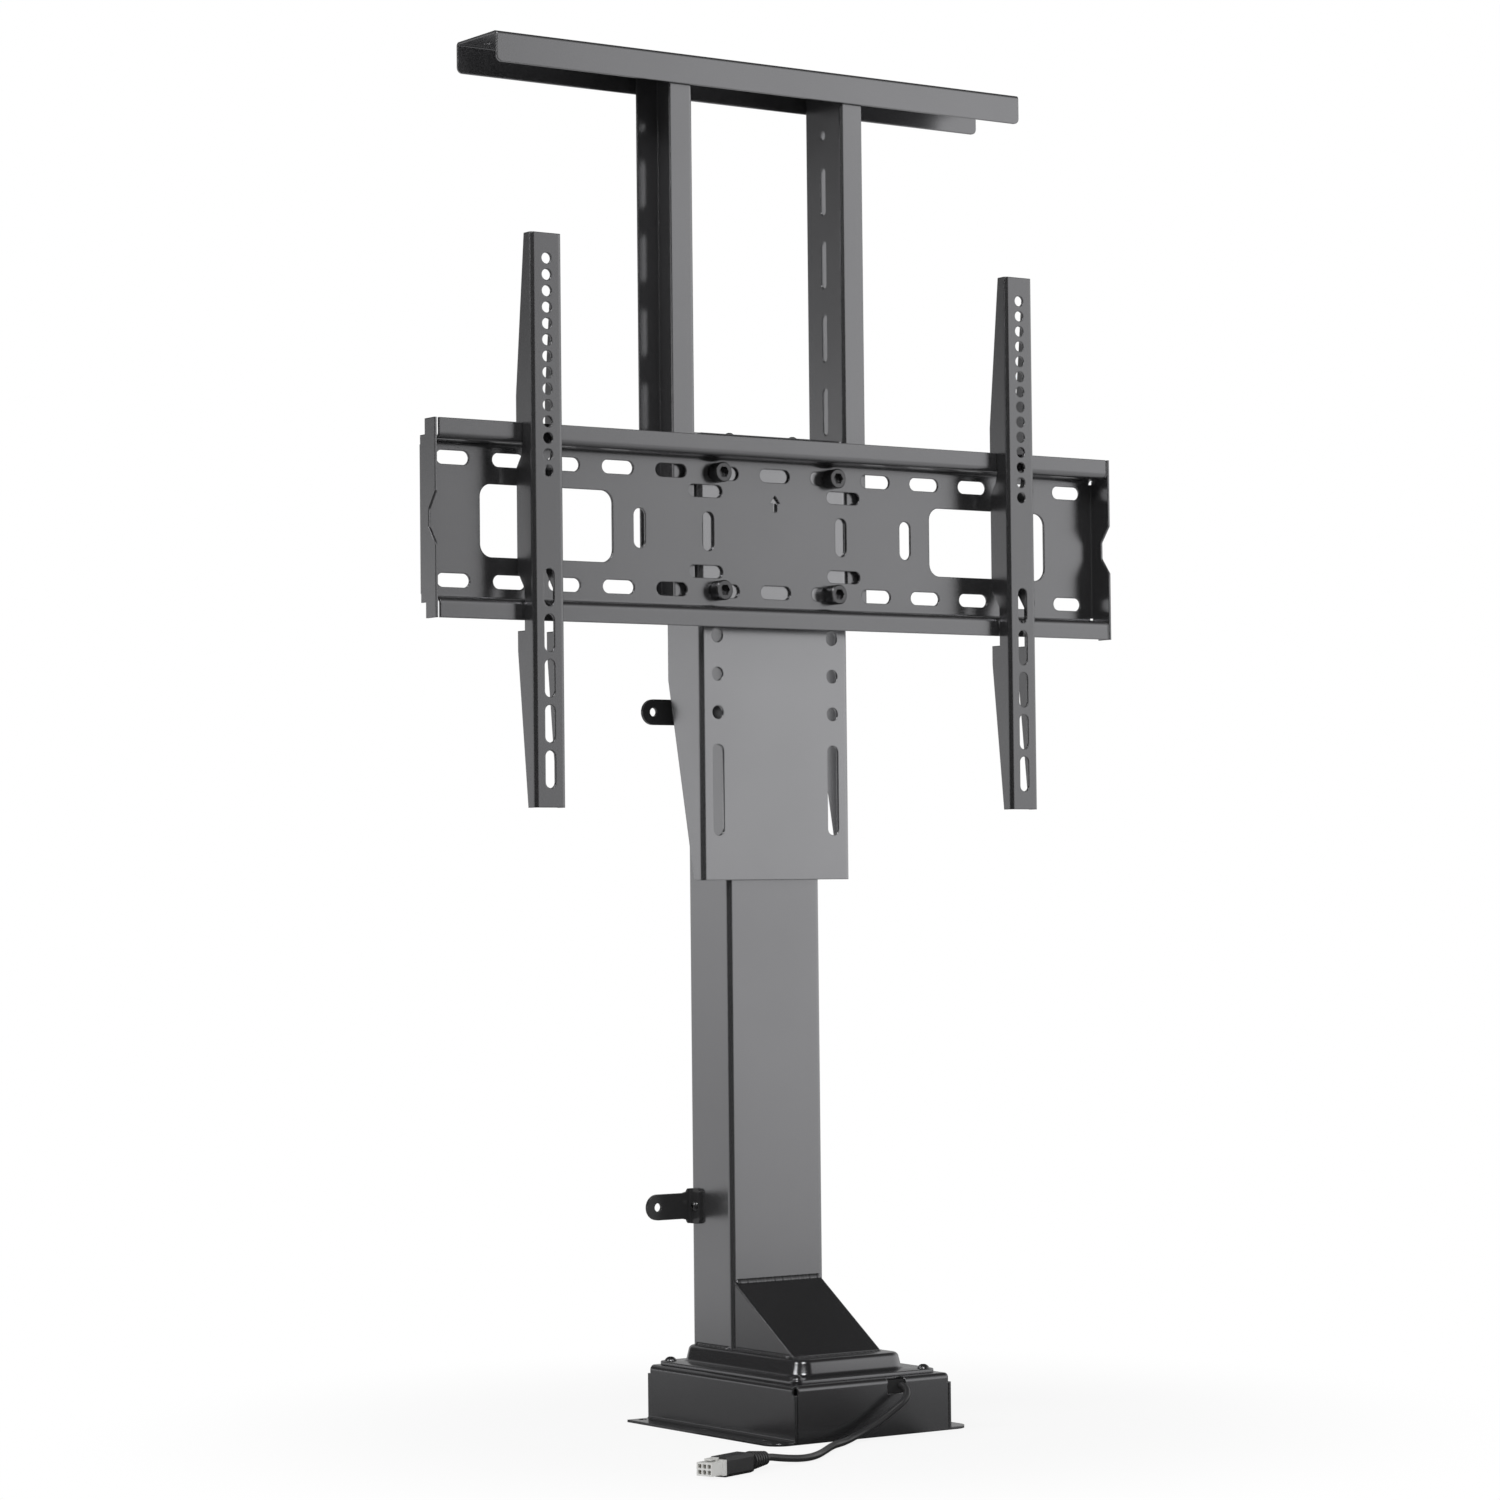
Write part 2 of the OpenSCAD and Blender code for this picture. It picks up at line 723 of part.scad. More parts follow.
module front_brace() {
    m = brace_h / brace_d;
    slant = atan(m);
    v = brace_t / cos(slant);
    color("dimgray") translate([0, col_front, col_z]) difference() {
        intersection() {
            translate([-brace_w / 2, -brace_d, 0]) cube([brace_w, brace_d, brace_h + 2]);
            translate([0, -brace_d, 0]) rotate([slant, 0, 0]) translate([0, -20, 0])
                rotate([-90, 0, 0]) linear_extrude(brace_d + 70)
                    translate([0, brace_d]) rrect(brace_w, 2 * brace_d, 2);
        }
        along_x(-brace_w / 2 + brace_t, brace_w / 2 - brace_t)
            polygon([[e, -e], [-brace_d + (v - e) / m, -e], [e, (brace_d + e) * m - v]]);
    }
}

// Triangular bead of length l along +X, in front of a wall at y = 0
module bead(l) {
    rotate([90, 0, 90]) linear_extrude(l) polygon([[0, 0], [-weld, 0], [0, weld]]);
}

module weld_beads() {
    m = brace_h / brace_d;
    side_l = col_d - 2 * col_r;
    back_l = col_w - 2 * col_r;
    front_l = brace_w - 5;
    color("dimgray") {
        translate([-front_l / 2, col_front - brace_d, col_z]) rotate([90, 0, 90])
            linear_extrude(front_l) polygon([[0, 0], [-weld, 0], [weld, weld * m]]);
        both_sides() {
            translate([-brace_w / 2, col_front - 1, col_z]) rotate([0, 0, -90]) bead(brace_d - 9);
            translate([-col_w / 2, col_y + side_l / 2, col_z]) rotate([0, 0, -90]) bead(side_l);
        }
        translate([back_l / 2, col_back, col_z]) rotate([0, 0, 180]) bead(back_l);
        translate([-front_l / 2, col_front, col_z + brace_h]) rotate([90, 0, 90])
            linear_extrude(front_l) polygon([[0, 0], [-weld, -weld * m], [0, weld]]);
    }
}

// Outline of a tab seen from above: its foot runs along the column, its strap away from it
module tab_outline(strap) {
    r = 1.5 * tab_t;
    translate([-col_w / 2, col_back]) difference() {
        union() {
            translate([-strap, -tab_foot_l]) square([strap - r, tab_foot_l]);
            translate([-r - 1, -tab_foot_l]) square([r + 1, tab_foot_l - r]);
            translate([-r, -r]) circle(r);
        }
        translate([-strap - e, -tab_foot_l - e]) square([strap + e - r, tab_foot_l + e - tab_t]);
        translate([-strap - e, -tab_foot_l - e]) square([strap + e - tab_t, tab_foot_l + e - r]);
        translate([-r, -r]) circle(r - tab_t);
    }
}

module wall_tab(z) {
    foot_x = -col_w / 2 - tab_t / 2;
    foot_y = col_back - tab_foot_l / 2;
    hole_x = -col_w / 2 - tab_reach + tab_h / 2;
    color("black") translate([0, 0, z]) difference() {
        intersection() {
            translate([0, 0, -tab_foot_h / 2]) linear_extrude(tab_foot_h)
                tab_outline(tab_reach);
            union() {
                along_y(col_back - tab_t - e, col_back + e) {
                    translate([hole_x, 0]) circle(tab_h / 2);
                    translate([hole_x, -tab_h / 2]) square([foot_x - hole_x, tab_h]);
                    polygon([[foot_x - 8, -tab_h / 2], [foot_x - 1, -tab_foot_h / 2 + 2],
                        [foot_x - 1, tab_foot_h / 2 - 2], [foot_x - 8, tab_h / 2]]);
                }
                along_x(foot_x - tab_t / 2 - 2.5, foot_x + tab_t) translate([foot_y, 0])
                    rrect(tab_foot_l, tab_foot_h, 4);
            }
        }
        translate([hole_x, col_back - tab_t - e, 0]) rotate([-90, 0, 0])
            cylinder(h = tab_t + 2 * e, d = tab_hole_d);
        translate([-col_w / 2 + e, foot_y - 1.5, 0]) rotate([0, -90, 0])
            cylinder(h = tab_t + 2 * e, d = cover_screw_d + hole_play);
    }
}

module lower_wall_tab() {
    wall_tab(tab_low_z);
}

module upper_wall_tab() {
    wall_tab(tab_high_z);
}

module tab_screws() {
    color("black") at_tab_screws() {
        translate([0, 0, tab_t]) button_head(9, 3, 3.2);
        translate([0, 0, -col_t]) cylinder(h = col_t + tab_t, d = cover_screw_d);
    }
}

module cord_grommet() {
    front = -base_d / 2 + 1;
    back = -base_d / 2 + 5;
    wide = notch_w - 4 * seat;
    low = base_h - notch_h + 2 * seat;
    color("black") difference() {
        union() {
            translate([notch_x - wide / 2, front, low]) cube([wide, back - front, cord_out.z + 4.2 - low]);
            translate([notch_x - wide / 2 - 2, -base_d / 2 + base_t, low - 2])
                cube([wide + 4, back - base_t + base_d / 2, cord_out.z + 4 - low]);
        }
        translate([cord_out.x, back + e, cord_out.z]) rotate([90, 0, 0])
            cylinder(h = 6, d = cord_d + 2 * seat);
    }
}

module cord() {
    color("black") tube(cord_route, cord_d, 12);
}

// Places the connector at the end of the cord, its length along +X
module at_connector() {
    translate(cord_end) rotate([0, 0, plug_turn]) children();
}

module connector_mould() {
    ribs = 6;
    pitch = tail_l / ribs;
    shoulder = 5;
    w = mould_w / 2;
    h = mould_h / 2;
    c = 2.4;
    color("black") at_connector() {
        rotate([0, 90, 0]) {
            cylinder(h = tail_l, d1 = cord_d + 2.4, d2 = mould_h - 3.4);
            for (i = [0:ribs - 1]) translate([0, 0, i * pitch])
                cylinder(h = pitch * 0.5, d = cord_d + 5 + (mould_h - cord_d - 5.4) * i / (ribs - 1));
        }
        translate([tail_l, 0, 0]) intersection() {
            along_y(-w, w) polygon([[0, -h + 1.6], [shoulder, -h], [mould_l, -h], [mould_l, h],
                [shoulder, h], [0, h - 1.6]]);
            translate([0, 0, -h]) linear_extrude(2 * h) polygon([[0, -w + 3], [shoulder, -w],
                [mould_l, -w], [mould_l, w], [shoulder, w], [0, w - 3]]);
            along_x(0, mould_l) polygon([[-w, -h + c], [-w + c, -h], [w - c, -h], [w, -h + c],
                [w, h - c], [w - c, h], [-w + c, h], [-w, h - c]]);
        }
    }
}

// Middles of the six terminal cavities, in Y and Z
module at_terminals() {
    for (i = [-1:1], k = [-1, 1]) translate([0, i * pin_pitch, k * pin_pitch / 2]) children();
}

module connector_housing() {
    len = plug_l;
    face_w = 3 * pin_pitch + 1.2;
    face_h = 2 * pin_pitch + 1.2;
    color("gainsboro") at_connector() translate([tail_l + mould_l, 0, 0]) {
        difference() {
            union() {
                along_x(0, len) square([face_w, face_h], center = true);
                along_x(0, 4.5) square([face_w + 1.6, face_h + 1.6], center = true);
            }
            at_terminals() translate([len - 11, 0, 0]) along_x(0, 12) rrect(3, 3, 0.6);
        }
        // latch
        along_x(4.5, 6.5) translate([-2.6, face_h / 2]) square([5.2, 2.2]);
        along_x(3, len - 3.5) translate([-2.6, face_h / 2 + 1.2]) square([5.2, 1.3]);
        along_y(-2.6, 2.6) polygon([[len - 5.5, face_h / 2 + 0.5], [len - 3.5, face_h / 2 + 1.2],
            [len - 3.5, face_h / 2 + 2.5], [len - 5.5, face_h / 2 + 2.5]]);
    }
}

module connector_terminals() {
    color("silver") at_connector() translate([tail_l + mould_l + plug_l - 11, 0, 0]) at_terminals()
        rotate([0, 90, 0]) difference() {
            cylinder(h = 9, d = 2.1, $fn = 24);
            translate([0, 0, 2]) cylinder(h = 8, d = 1.3, $fn = 24);
        }
}

module gearbox_block(z0, z1) {
    translate([box_left, col_y - box_half, z0]) cube([box_right - box_left, 2 * box_half, z1 - z0]);
}

module gearbox_housing() {
    color("darkgray") difference() {
        gearbox_block(box_z, box_split);
        translate([0, col_y, wheel_z - wheel_t / 2 - 3]) {
            translate([0, 0, -foot_brg.z]) cylinder(h = foot_brg.z + e, d = foot_brg.y + 2 * seat);
            cylinder(h = box_split, r = wheel_r + 1);
        }
        translate([worm_cd, motor_front - e, wheel_z]) rotate([-90, 0, 0]) {
            cylinder(h = 2 * box_half - 10, r = worm_r + 0.6);
            cylinder(h = 2 * box_half - 4, d = 6 + 2 * shaft_fit);
        }
        at_box_screws() translate([0, 0, box_z - e]) {
            cylinder(h = box_split, d = cover_screw_d + hole_play);
            cylinder(h = 5 + e, d = 10);
        }
        translate([-4, motor_front - e, 10]) rotate([-90, 0, 0]) cylinder(h = 8, d = 3 + 2 * seat);
    }
}

module gearbox_lid() {
    color("darkgray") difference() {
        gearbox_block(box_split, box_top);
        translate([0, col_y, box_split - e]) cylinder(h = 20, d = shaft_d + 8);
        translate([0, col_y, box_top - thrust_brg.z])
            cylinder(h = thrust_brg.z + e, d = thrust_brg.y + 2 * seat);
        at_box_screws() translate([0, 0, box_split - e]) cylinder(h = 20, d = cover_screw_d + hole_play);
        translate([-4, motor_front - e, 33]) rotate([-90, 0, 0]) cylinder(h = 8, d = 3 + 2 * seat);
    }
}

module gearbox_screws() {
    color("gray") at_box_screws() translate([0, 0, box_z + 5]) {
        cylinder(h = base_h + 6 - box_z - 5, d = cover_screw_d);
        rotate([180, 0, 0]) socket_head(8.5, 4.5, 4);
    }
}

module gearbox_nuts() {
    color("gray") at_box_screws() translate([0, 0, base_h])
        hex_nut(8, 4.5, cover_screw_d + 2 * seat);
}

module foot_bearing() {
    color("silver") translate([0, col_y, wheel_z - wheel_t / 2 - 3 - foot_brg.z]) bearing(foot_brg);
}

module thrust_bearing() {
    color("silver") translate([0, col_y, box_top - thrust_brg.z]) bearing(thrust_brg);
}

module drive_motor() {
    color("gray") difference() {
        union() {
            translate([worm_cd, motor_back, wheel_z]) rotate([-90, 0, 0])
                cylinder(h = motor_l, d = motor_d);
            translate([-9, motor_front - 4, 6]) cube([worm_cd + 9, 4, 31]);
        }
        translate([worm_cd, motor_front + e, wheel_z]) rotate([90, 0, 0])
            cylinder(h = 14 + e, d = 6 + 2 * shaft_fit);
        for (z = [10, 33]) translate([-4, motor_front + e, z]) rotate([90, 0, 0])
            cylinder(h = 5, d = 3 + hole_play);
    }
}

module motor_end_cap() {
    color("black") translate([worm_cd, motor_back, wheel_z]) rotate([90, 0, 0]) {
        cylinder(h = cap_l - 2, d = motor_d);
        translate([0, 0, cap_l - 2]) cylinder(h = 2, d1 = motor_d, d2 = motor_d - 4);
    }
}

module motor_screws() {
    color("silver") for (z = [10, 33]) translate([-4, motor_front - 4, z]) rotate([90, 0, 0]) {
        socket_head(5.5, 3, 2.5);
        translate([0, 0, -11]) cylinder(h = 11, d = 3);
    }
}

module motor_lead() {
    from = [worm_cd, motor_back - cap_l, wheel_z];
    to = cord_out;
    ease = [0, 0, 0.08, 0.28, 0.55, 0.8, 0.95, 1, 1];
    color("black") tube([for (i = [0:8]) [from.x + (to.x - from.x) * ease[i],
        from.y + (to.y - from.y) * i / 8, from.z + (to.z - from.z) * ease[i]]], cord_d, 12);
}

// Guide at the upper end of a tube, w and d the tube's outer size, t its wall
module collar(w, d, t, r, in_w, in_d, top) {
    difference() {
        union() {
            translate([0, col_y, top - collar_t]) rbox(w, d, collar_t, r);
            translate([0, col_y, top - collar_t - glide_h])
                rbox(w - 2 * t - 2 * seat, d - 2 * t - 2 * seat, glide_h + 1, r - t);
        }
        translate([0, col_y, top - collar_t - glide_h - e])
            rbox(in_w + 2 * glide_fit, in_d + 2 * glide_fit, glide_h + collar_t + 2 * e, r - t + 1);
    }
}

// Guide round the lower end of a tube, with a rim under the tube's wall
module foot_glide(w, d, t, r, out_w, out_d, z) {
    difference() {
        translate([0, col_y, z - 2])
            rbox(out_w - 2 * glide_fit, out_d - 2 * glide_fit, glide_h + 2, r);
        translate([0, col_y, z]) rbox(w + 2 * seat, d + 2 * seat, glide_h + e, r);
        translate([0, col_y, z - 2 - e]) rbox(w - 2 * t, d - 2 * t, 2 + 2 * e, r - t);
    }
}

module column_collar() {
    color("black") collar(col_w, col_d, col_t, col_r, mid_w, mid_d, col_top);
}

module lower_screw() {
    foot = wheel_z - wheel_t / 2 - 3;
    color("silver") translate([0, col_y, 0]) difference() {
        union() {
            translate([0, 0, foot - foot_brg.z + 0.5]) cylinder(h = foot_brg.z, d = foot_brg.x);
            translate([0, 0, foot + 0.3]) cylinder(h = 2.7, d = shaft_d + 4);
            translate([0, 0, foot + 2]) cylinder(h = box_top - foot - 2 + 1, d = shaft_d);
            translate([0, 0, box_top + 0.3]) cylinder(h = low_screw_top - box_top - 1.3, d = low_screw_d);
            translate([0, 0, low_screw_top - 1])
                cylinder(h = 1, d1 = low_screw_d, d2 = low_screw_d - 1.6);
        }
        translate([0, 0, bore_z]) hex(rod_af + 0.3, low_screw_top);
    }
}

module worm_wheel() {
    gap = 2 * PI * wheel_r / wheel_teeth * 0.27;
    color("goldenrod") translate([0, col_y, wheel_z - wheel_t / 2]) difference() {
        union() {
            cylinder(h = wheel_t, r = wheel_r);
            cylinder(h = wheel_t + 3, d = shaft_d + 6);
        }
        for (i = [0:wheel_teeth - 1]) rotate([0, 0, 360 * i / wheel_teeth])
            translate([wheel_r, 0, -e]) cylinder(h = wheel_t + 2 * e, r = gap, $fn = 24);
        translate([0, 0, -e]) cylinder(h = wheel_t + 5, d = shaft_d + 2 * seat);
    }
}

module worm_shaft() {
    turns = 7;
    pitch = 4;
    color("silver") translate([worm_cd, col_y, wheel_z]) rotate([-90, 0, 0]) difference() {
        union() {
            translate([0, 0, -box_half - 12]) cylinder(h = 2 * box_half + 12 - 5, d = 6);
            translate([0, 0, -15]) cylinder(h = 30, r = worm_r);
        }
        for (i = [0:turns - 1]) translate([0, 0, (i - (turns - 1) / 2) * pitch - 0.9]) difference() {
            cylinder(h = 1.8, r = worm_r + 1);
            translate([0, 0, -e]) cylinder(h = 3, r = worm_r - 2);
        }
    }
}

module middle_column() {
    color("gray") translate([0, col_y, mid_z]) rtube(mid_w, mid_d, mid_top - collar_t - mid_z, mid_t, 3.5);
}

module middle_foot() {
    color("dimgray") translate([0, col_y, mid_z]) difference() {
        rbox(mid_w - 2 * mid_t - 2 * seat, mid_d - 2 * mid_t - 2 * seat, foot_h, 3.5 - mid_t);
        translate([0, 0, -e]) cylinder(h = nut_l + e, d = 24 + 2 * seat);
        translate([0, 0, nut_l - e]) cylinder(h = foot_h, d = up_screw_d + 2);
        translate([0, 0, foot_h - mid_brg.z]) cylinder(h = mid_brg.z + e, d = mid_brg.y + 2 * seat);
    }
}

module lower_nut() {
    color("goldenrod") translate([0, col_y, mid_z - nut_t]) difference() {
        union() {
            cylinder(h = nut_t - 2, d = 32);
            cylinder(h = nut_t + nut_l, d = 24);
            translate([0, 0, nut_t - 2.2]) cylinder(h = 2.2, d = 32);
        }
        translate([0, 0, -e]) cylinder(h = nut_t + nut_l + 2 * e, d = low_screw_d + 2 * shaft_fit);
    }
}

module screw_bearing() {
    color("silver") translate([0, col_y, screw_z]) bearing(mid_brg);
}

module middle_glide() {
    color("black") foot_glide(mid_w, mid_d, mid_t, 3.5, col_w - 2 * col_t, col_d - 2 * col_t, mid_z);
}

module middle_collar() {
    color("black") collar(mid_w, mid_d, mid_t, 3.5, inn_w, inn_d, mid_top);
}

module upper_screw() {
    top = mid_z + foot_h;
    color("silver") translate([0, col_y, 0]) difference() {
        union() {
            translate([0, 0, screw_z + 0.3]) cylinder(h = up_screw_top - screw_z - 1.3, d = up_screw_d);
            translate([0, 0, up_screw_top - 1]) cylinder(h = 1, d1 = up_screw_d, d2 = up_screw_d - 2);
            translate([0, 0, top + 0.3]) cylinder(h = flange_t - 0.3, d = up_screw_d + 6);
        }
        translate([0, 0, screw_z]) cylinder(h = up_screw_top - up_cap - screw_z, d = low_screw_d + 1);
    }
}

module drive_rod() {
    color("silver") translate([0, col_y, rod_z]) hex(rod_af, up_screw_top - up_cap - rod_z);
}

module inner_column() {
    color("gray") translate([0, col_y, inn_z]) rtube(inn_w, inn_d, head_z - inn_z, inn_t, 3);
}

module upper_nut() {
    color("goldenrod") translate([0, col_y, inn_z]) difference() {
        rbox(inn_w - 2 * inn_t - 2 * seat, inn_d - 2 * inn_t - 2 * seat, 30, 3 - inn_t);
        translate([0, 0, -e]) cylinder(h = 30 + 2 * e, d = up_screw_d + 2 * shaft_fit);
    }
}

module inner_glide() {
    color("black") foot_glide(inn_w, inn_d, inn_t, 3, mid_w - 2 * mid_t, mid_d - 2 * mid_t, inn_z);
}

module at_head_screws() {
    for (x = [-31, 31], y = [-16, 6]) translate([x, col_y + y, 0]) children();
}

module head_plate() {
    color("dimgray") difference() {
        translate([0, col_y, head_z]) rbox(inn_w + 14, inn_d + 6, head_t, 3);
        at_head_screws() translate([0, 0, head_z - e])
            cylinder(h = head_t + 2 * e, d = cover_screw_d + 2 * seat);
    }
}

module head_screws() {
    color("black") at_head_screws() {
        translate([0, 0, car_top]) button_head(8.8, 2.8, 3);
        translate([0, 0, head_z + 1]) cylinder(h = car_top - head_z - 1, d = cover_screw_d);
    }
}

module carriage() {
    notch_in = 5.5;
    bend_z = car_top - flap_r;
    color("gray") difference() {
        union() {
            difference() {
                translate([0, car_front, car_z])
                    linear_extrude(head_top - car_z) u_outline(car_w, car_d, car_t, car_r);
                translate([-car_side, car_front - e, bend_z]) cube([2 * car_side, flap_r + e, 2 * flap_r]);
            }
            along_x(-car_w / 2 + notch_in, car_w / 2 - notch_in)
                folded([[car_front + car_t / 2, bend_z - 4], [car_front + car_t / 2, car_top - car_t / 2],
                    [car_front + 20, car_top - car_t / 2]], car_t, flap_r - car_t / 2);
            translate([-car_w / 2, car_front + notch_in, head_top])
                cube([car_w, car_d - notch_in, car_t]);
        }
        // corner reliefs beside the top bend
        both_sides() translate([car_w / 2 - notch_in, car_front - e, head_top - 6])
            cube([notch_in + e, notch_in + e, 6 + car_t + e]);
        // taper of the side flanges
        along_x(-car_w / 2 - e, car_w / 2 + e) polygon([[car_back + e, car_z + car_taper],
            [car_back, car_z + car_taper], [car_front + car_tip, car_z], [car_front + car_tip, car_z - e],
            [car_back + e, car_z - e]]);
        for (x = [-bolt_x, bolt_x]) {
            for (z = [cut_z - slot_rows / 2, cut_z + slot_rows / 2, car_hole_z,
                car_hole_z - car_hole_pitch, car_hole_z - 2 * car_hole_pitch])
                translate([x, car_front - e, z]) rotate([-90, 0, 0])
                    cylinder(h = car_t + 2 * e, d = car_hole_d);
            along_y(car_front - e, car_front + car_t + e) translate([x, car_slot_z]) rotate(90)
                stadium(car_slot_l, car_hole_d);
        }
        for (i = [up_slots - 2, up_slots - 1])
            translate([-car_w / 2 - e, up_y, up_slot_top - i * up_slot_pitch]) rotate([0, 90, 0])
                cylinder(h = car_w + 2 * e, d = up_bolt_d + 0.6);
        at_head_screws() translate([0, 0, head_top - e])
            cylinder(h = car_t + 2 * e, d = cover_screw_d + hole_play);
    }
}

// Cut-outs of the plate's web, drawn in X and Z
module web_cuts() {
    for (k = [-6:6], z = [-1, 1])
        translate([k * slot_pitch, z * slot_rows / 2]) stadium(slot_l, slot_w);
    for (k = [-2, -1, 1, 2]) translate([k * tall_x, 0]) rotate(90) stadium(tall_l, tall_w);
    for (x = [-pair_x, pair_x], z = [-pair_up, pair_up]) translate([x, z]) stadium(pair_l, pair_w);
    for (x = [-window_x, window_x]) translate([x, 0]) rrect(window_w, window_h, 10);
    translate([-2, 18]) square([4, 9]);
    polygon([[-4.9, 25], [4.9, 25], [0, 31]]);
}

module end_flange() {
    half = plate_l / 2;
    web_mid = web_back - plate_t / 2;
    deep = web_back - plate_rc - plate_t / 2;
    strip = lip_front + strip_d;
    flat = lip_rc + plate_t / 2;
    translate([0, 0, shelf_low + flat]) linear_extrude(shelf_z - shelf_low - 2 * flat)
        folded([[half - 25, web_mid], [half - plate_t / 2, web_mid],
            [half - plate_t / 2, web_mid - 8]], plate_t, plate_rc);
    difference() {
        along_x(half - plate_t, half) polygon([[lip_front, lip_low], [strip, lip_low],
            [strip, shelf_low - 2], [deep, shelf_low - 2], [deep, shelf_z + 2], [strip, shelf_z + 2],
            [strip, lip_top], [lip_front, lip_top]]);
        along_x(half - plate_t - e, half + e) translate([lip_front, plate_z])
            polygon([[-e, -20.6], [0, -20], [10, -6.8], [10, 6.8], [0, 20], [-e, 20.6]]);
    }
}

module tv_plate() {
    half = plate_l / 2;
    lip_mid = lip_front + plate_t / 2;
    web_mid = web_back - plate_t / 2;
    end_x = half - plate_t - plate_gap;
    color("dimgray") difference() {
        union() {
            along_x(-end_x, end_x) folded([[lip_mid, lip_top], [lip_mid, shelf_z - plate_t / 2],
                [web_mid, shelf_z - plate_t / 2], [web_mid, shelf_low + plate_t / 2],
                [lip_mid, shelf_low + plate_t / 2], [lip_mid, lip_low]], plate_t, lip_rc);
            both_sides() end_flange();
        }
        along_y(web_front - e, web_back + e) translate([0, cut_z]) web_cuts();
        for (x = [-half + 3, half - 3], z = [shelf_low, shelf_z]) translate([x, web_front - 2.5, z])
            rotate([-90, 0, 0]) cylinder(h = 6, d = 5);
    }
}

// Four bolts of the plate, z = 0 on the plate's front and +Z into it
module at_plate_bolts() {
    for (x = [-bolt_x, bolt_x], z = [-1, 1])
        translate([x, web_front, cut_z + z * slot_rows / 2]) rotate([-90, 0, 0]) children();
}

module plate_bolts() {
    color("black") at_plate_bolts() {
        mirror([0, 0, 1]) socket_head(bolt_head_d, bolt_head_h, 0.8 * bolt_d);
        cylinder(h = plate_t + car_t + bolt_nut_h + 3, d = bolt_d);
    }
}

module plate_nuts() {
    color("gray") at_plate_bolts() translate([0, 0, plate_t + car_t]) rotate([0, 0, 30])
        hex_nut(bolt_nut_af, bolt_nut_h, bolt_d + 2 * seat);
}

// Four bolts of the uprights, z = 0 on the upright's inner face and +Z outwards
module at_upright_bolts() {
    both_sides() for (i = [up_slots - 2, up_slots - 1])
        translate([car_w / 2 + lid_t, up_y, up_slot_top - i * up_slot_pitch]) rotate([0, 90, 0])
            children();
}

module upright_bolts() {
    color("black") at_upright_bolts() {
        intersection() {
            hex(up_head_af, up_head_h);
            cylinder(h = up_head_h, d = 1.12 * up_head_af);
        }
        translate([0, 0, -lid_t - car_t - up_nut_h - up_tail])
            cylinder(h = lid_t + car_t + up_nut_h + up_tail + e, d = up_bolt_d);
    }
}

module upright_nuts() {
    color("gray") at_upright_bolts() translate([0, 0, -lid_t - car_t - up_nut_h])
        hex_nut(up_head_af, up_nut_h, up_bolt_d + 2 * seat);
}

// Flange outline of an arm, in Y and Z
module arm_side() {
    hang = lip_front - arm_clear;
    polygon([[arm_front, arm_low], [arm_front + arm_tip, arm_low], [arm_back, lip_low - taper_low],
        [arm_back, lip_low - catch_low], [hang - 1, lip_low - catch_low],
        [hang - 1, lip_low + seat_low], [arm_back, lip_low + seat_top],
        [arm_back, shelf_z - neck_low], [hang + 2, shelf_z - neck_top],
        [hang, shelf_z - hook_seat], [hang, lip_top], [lip_back + arm_clear, lip_top],
        [lip_back + arm_clear, shelf_z + hook_low], [arm_back, shelf_z + hook_root],
        [arm_back, lip_top + shoulder], [arm_front + arm_tip, arm_top], [arm_front, arm_top]]);
}

module arm() {
    color("dimgray") difference() {
        intersection() {
            translate([0, arm_front, arm_low]) linear_extrude(arm_l)
                u_outline(arm_w, arm_d, arm_t, 3);
            along_x(-arm_w, arm_w) arm_side();
        }
        along_y(arm_front - e, arm_front + arm_t + e) {
            for (i = [0:arm_holes - 1]) translate([0, arm_top - arm_hole_top - i * arm_hole_pitch])
                circle(d = arm_hole_d);
            for (i = [0:arm_slots - 1]) translate([0, arm_top - arm_slot_top - i * arm_slot_pitch])
                rotate(90) stadium(arm_slot_l, arm_slot_w);
        }
    }
}

module left_arm() {
    translate([arm_left_x, 0, 0]) arm();
}

module right_arm() {
    translate([arm_right_x, 0, 0]) arm();
}

module upright() {
    color("gray") difference() {
        translate([car_w / 2, up_y, up_bottom]) rotate([0, 0, -90])
            linear_extrude(up_top - up_bottom) u_outline(up_d, up_w, lid_t, 3);
        along_x(car_w / 2 - e, car_w / 2 + lid_t + e) translate([up_y, 0]) {
            for (i = [0:up_slots - 1]) translate([0, up_slot_top - i * up_slot_pitch]) rotate(90)
                stadium(up_slot_l, up_slot_w);
            translate([0, lid_top - 47.3]) circle(d = 7);
        }
    }
}

module left_upright() {
    mirror([1, 0, 0]) upright();
}

module right_upright() {
    upright();
}

module top_bracket() {
    color("gray") difference() {
        intersection() {
            translate([-lid_l / 2, lid_y, lid_top]) rotate([0, 90, 0]) rotate([0, 0, -90])
                linear_extrude(lid_l) u_outline(lid_d, lid_h, lid_t, 3);
            along_y(lid_y - lid_d, lid_y + lid_d) {
                translate([-lid_l / 2, lid_top - lid_h + lid_ear_r]) square([lid_l, lid_h]);
                translate([-lid_l / 2 + lid_ear_r, lid_top - lid_h]) square([lid_l - 2 * lid_ear_r, lid_h]);
                for (x = [-1, 1]) translate([x * (lid_l / 2 - lid_ear_r), lid_top - lid_h + lid_ear_r])
                    circle(lid_ear_r);
            }
        }
        for (x = [-1, 1], y = [-1, 1])
            translate([x * (lid_l / 2 - lid_hole_in), lid_y + y * lid_hole_gap / 2, lid_top - lid_t - e])
                cylinder(h = lid_t + 2 * e, d = 7);
    }
}

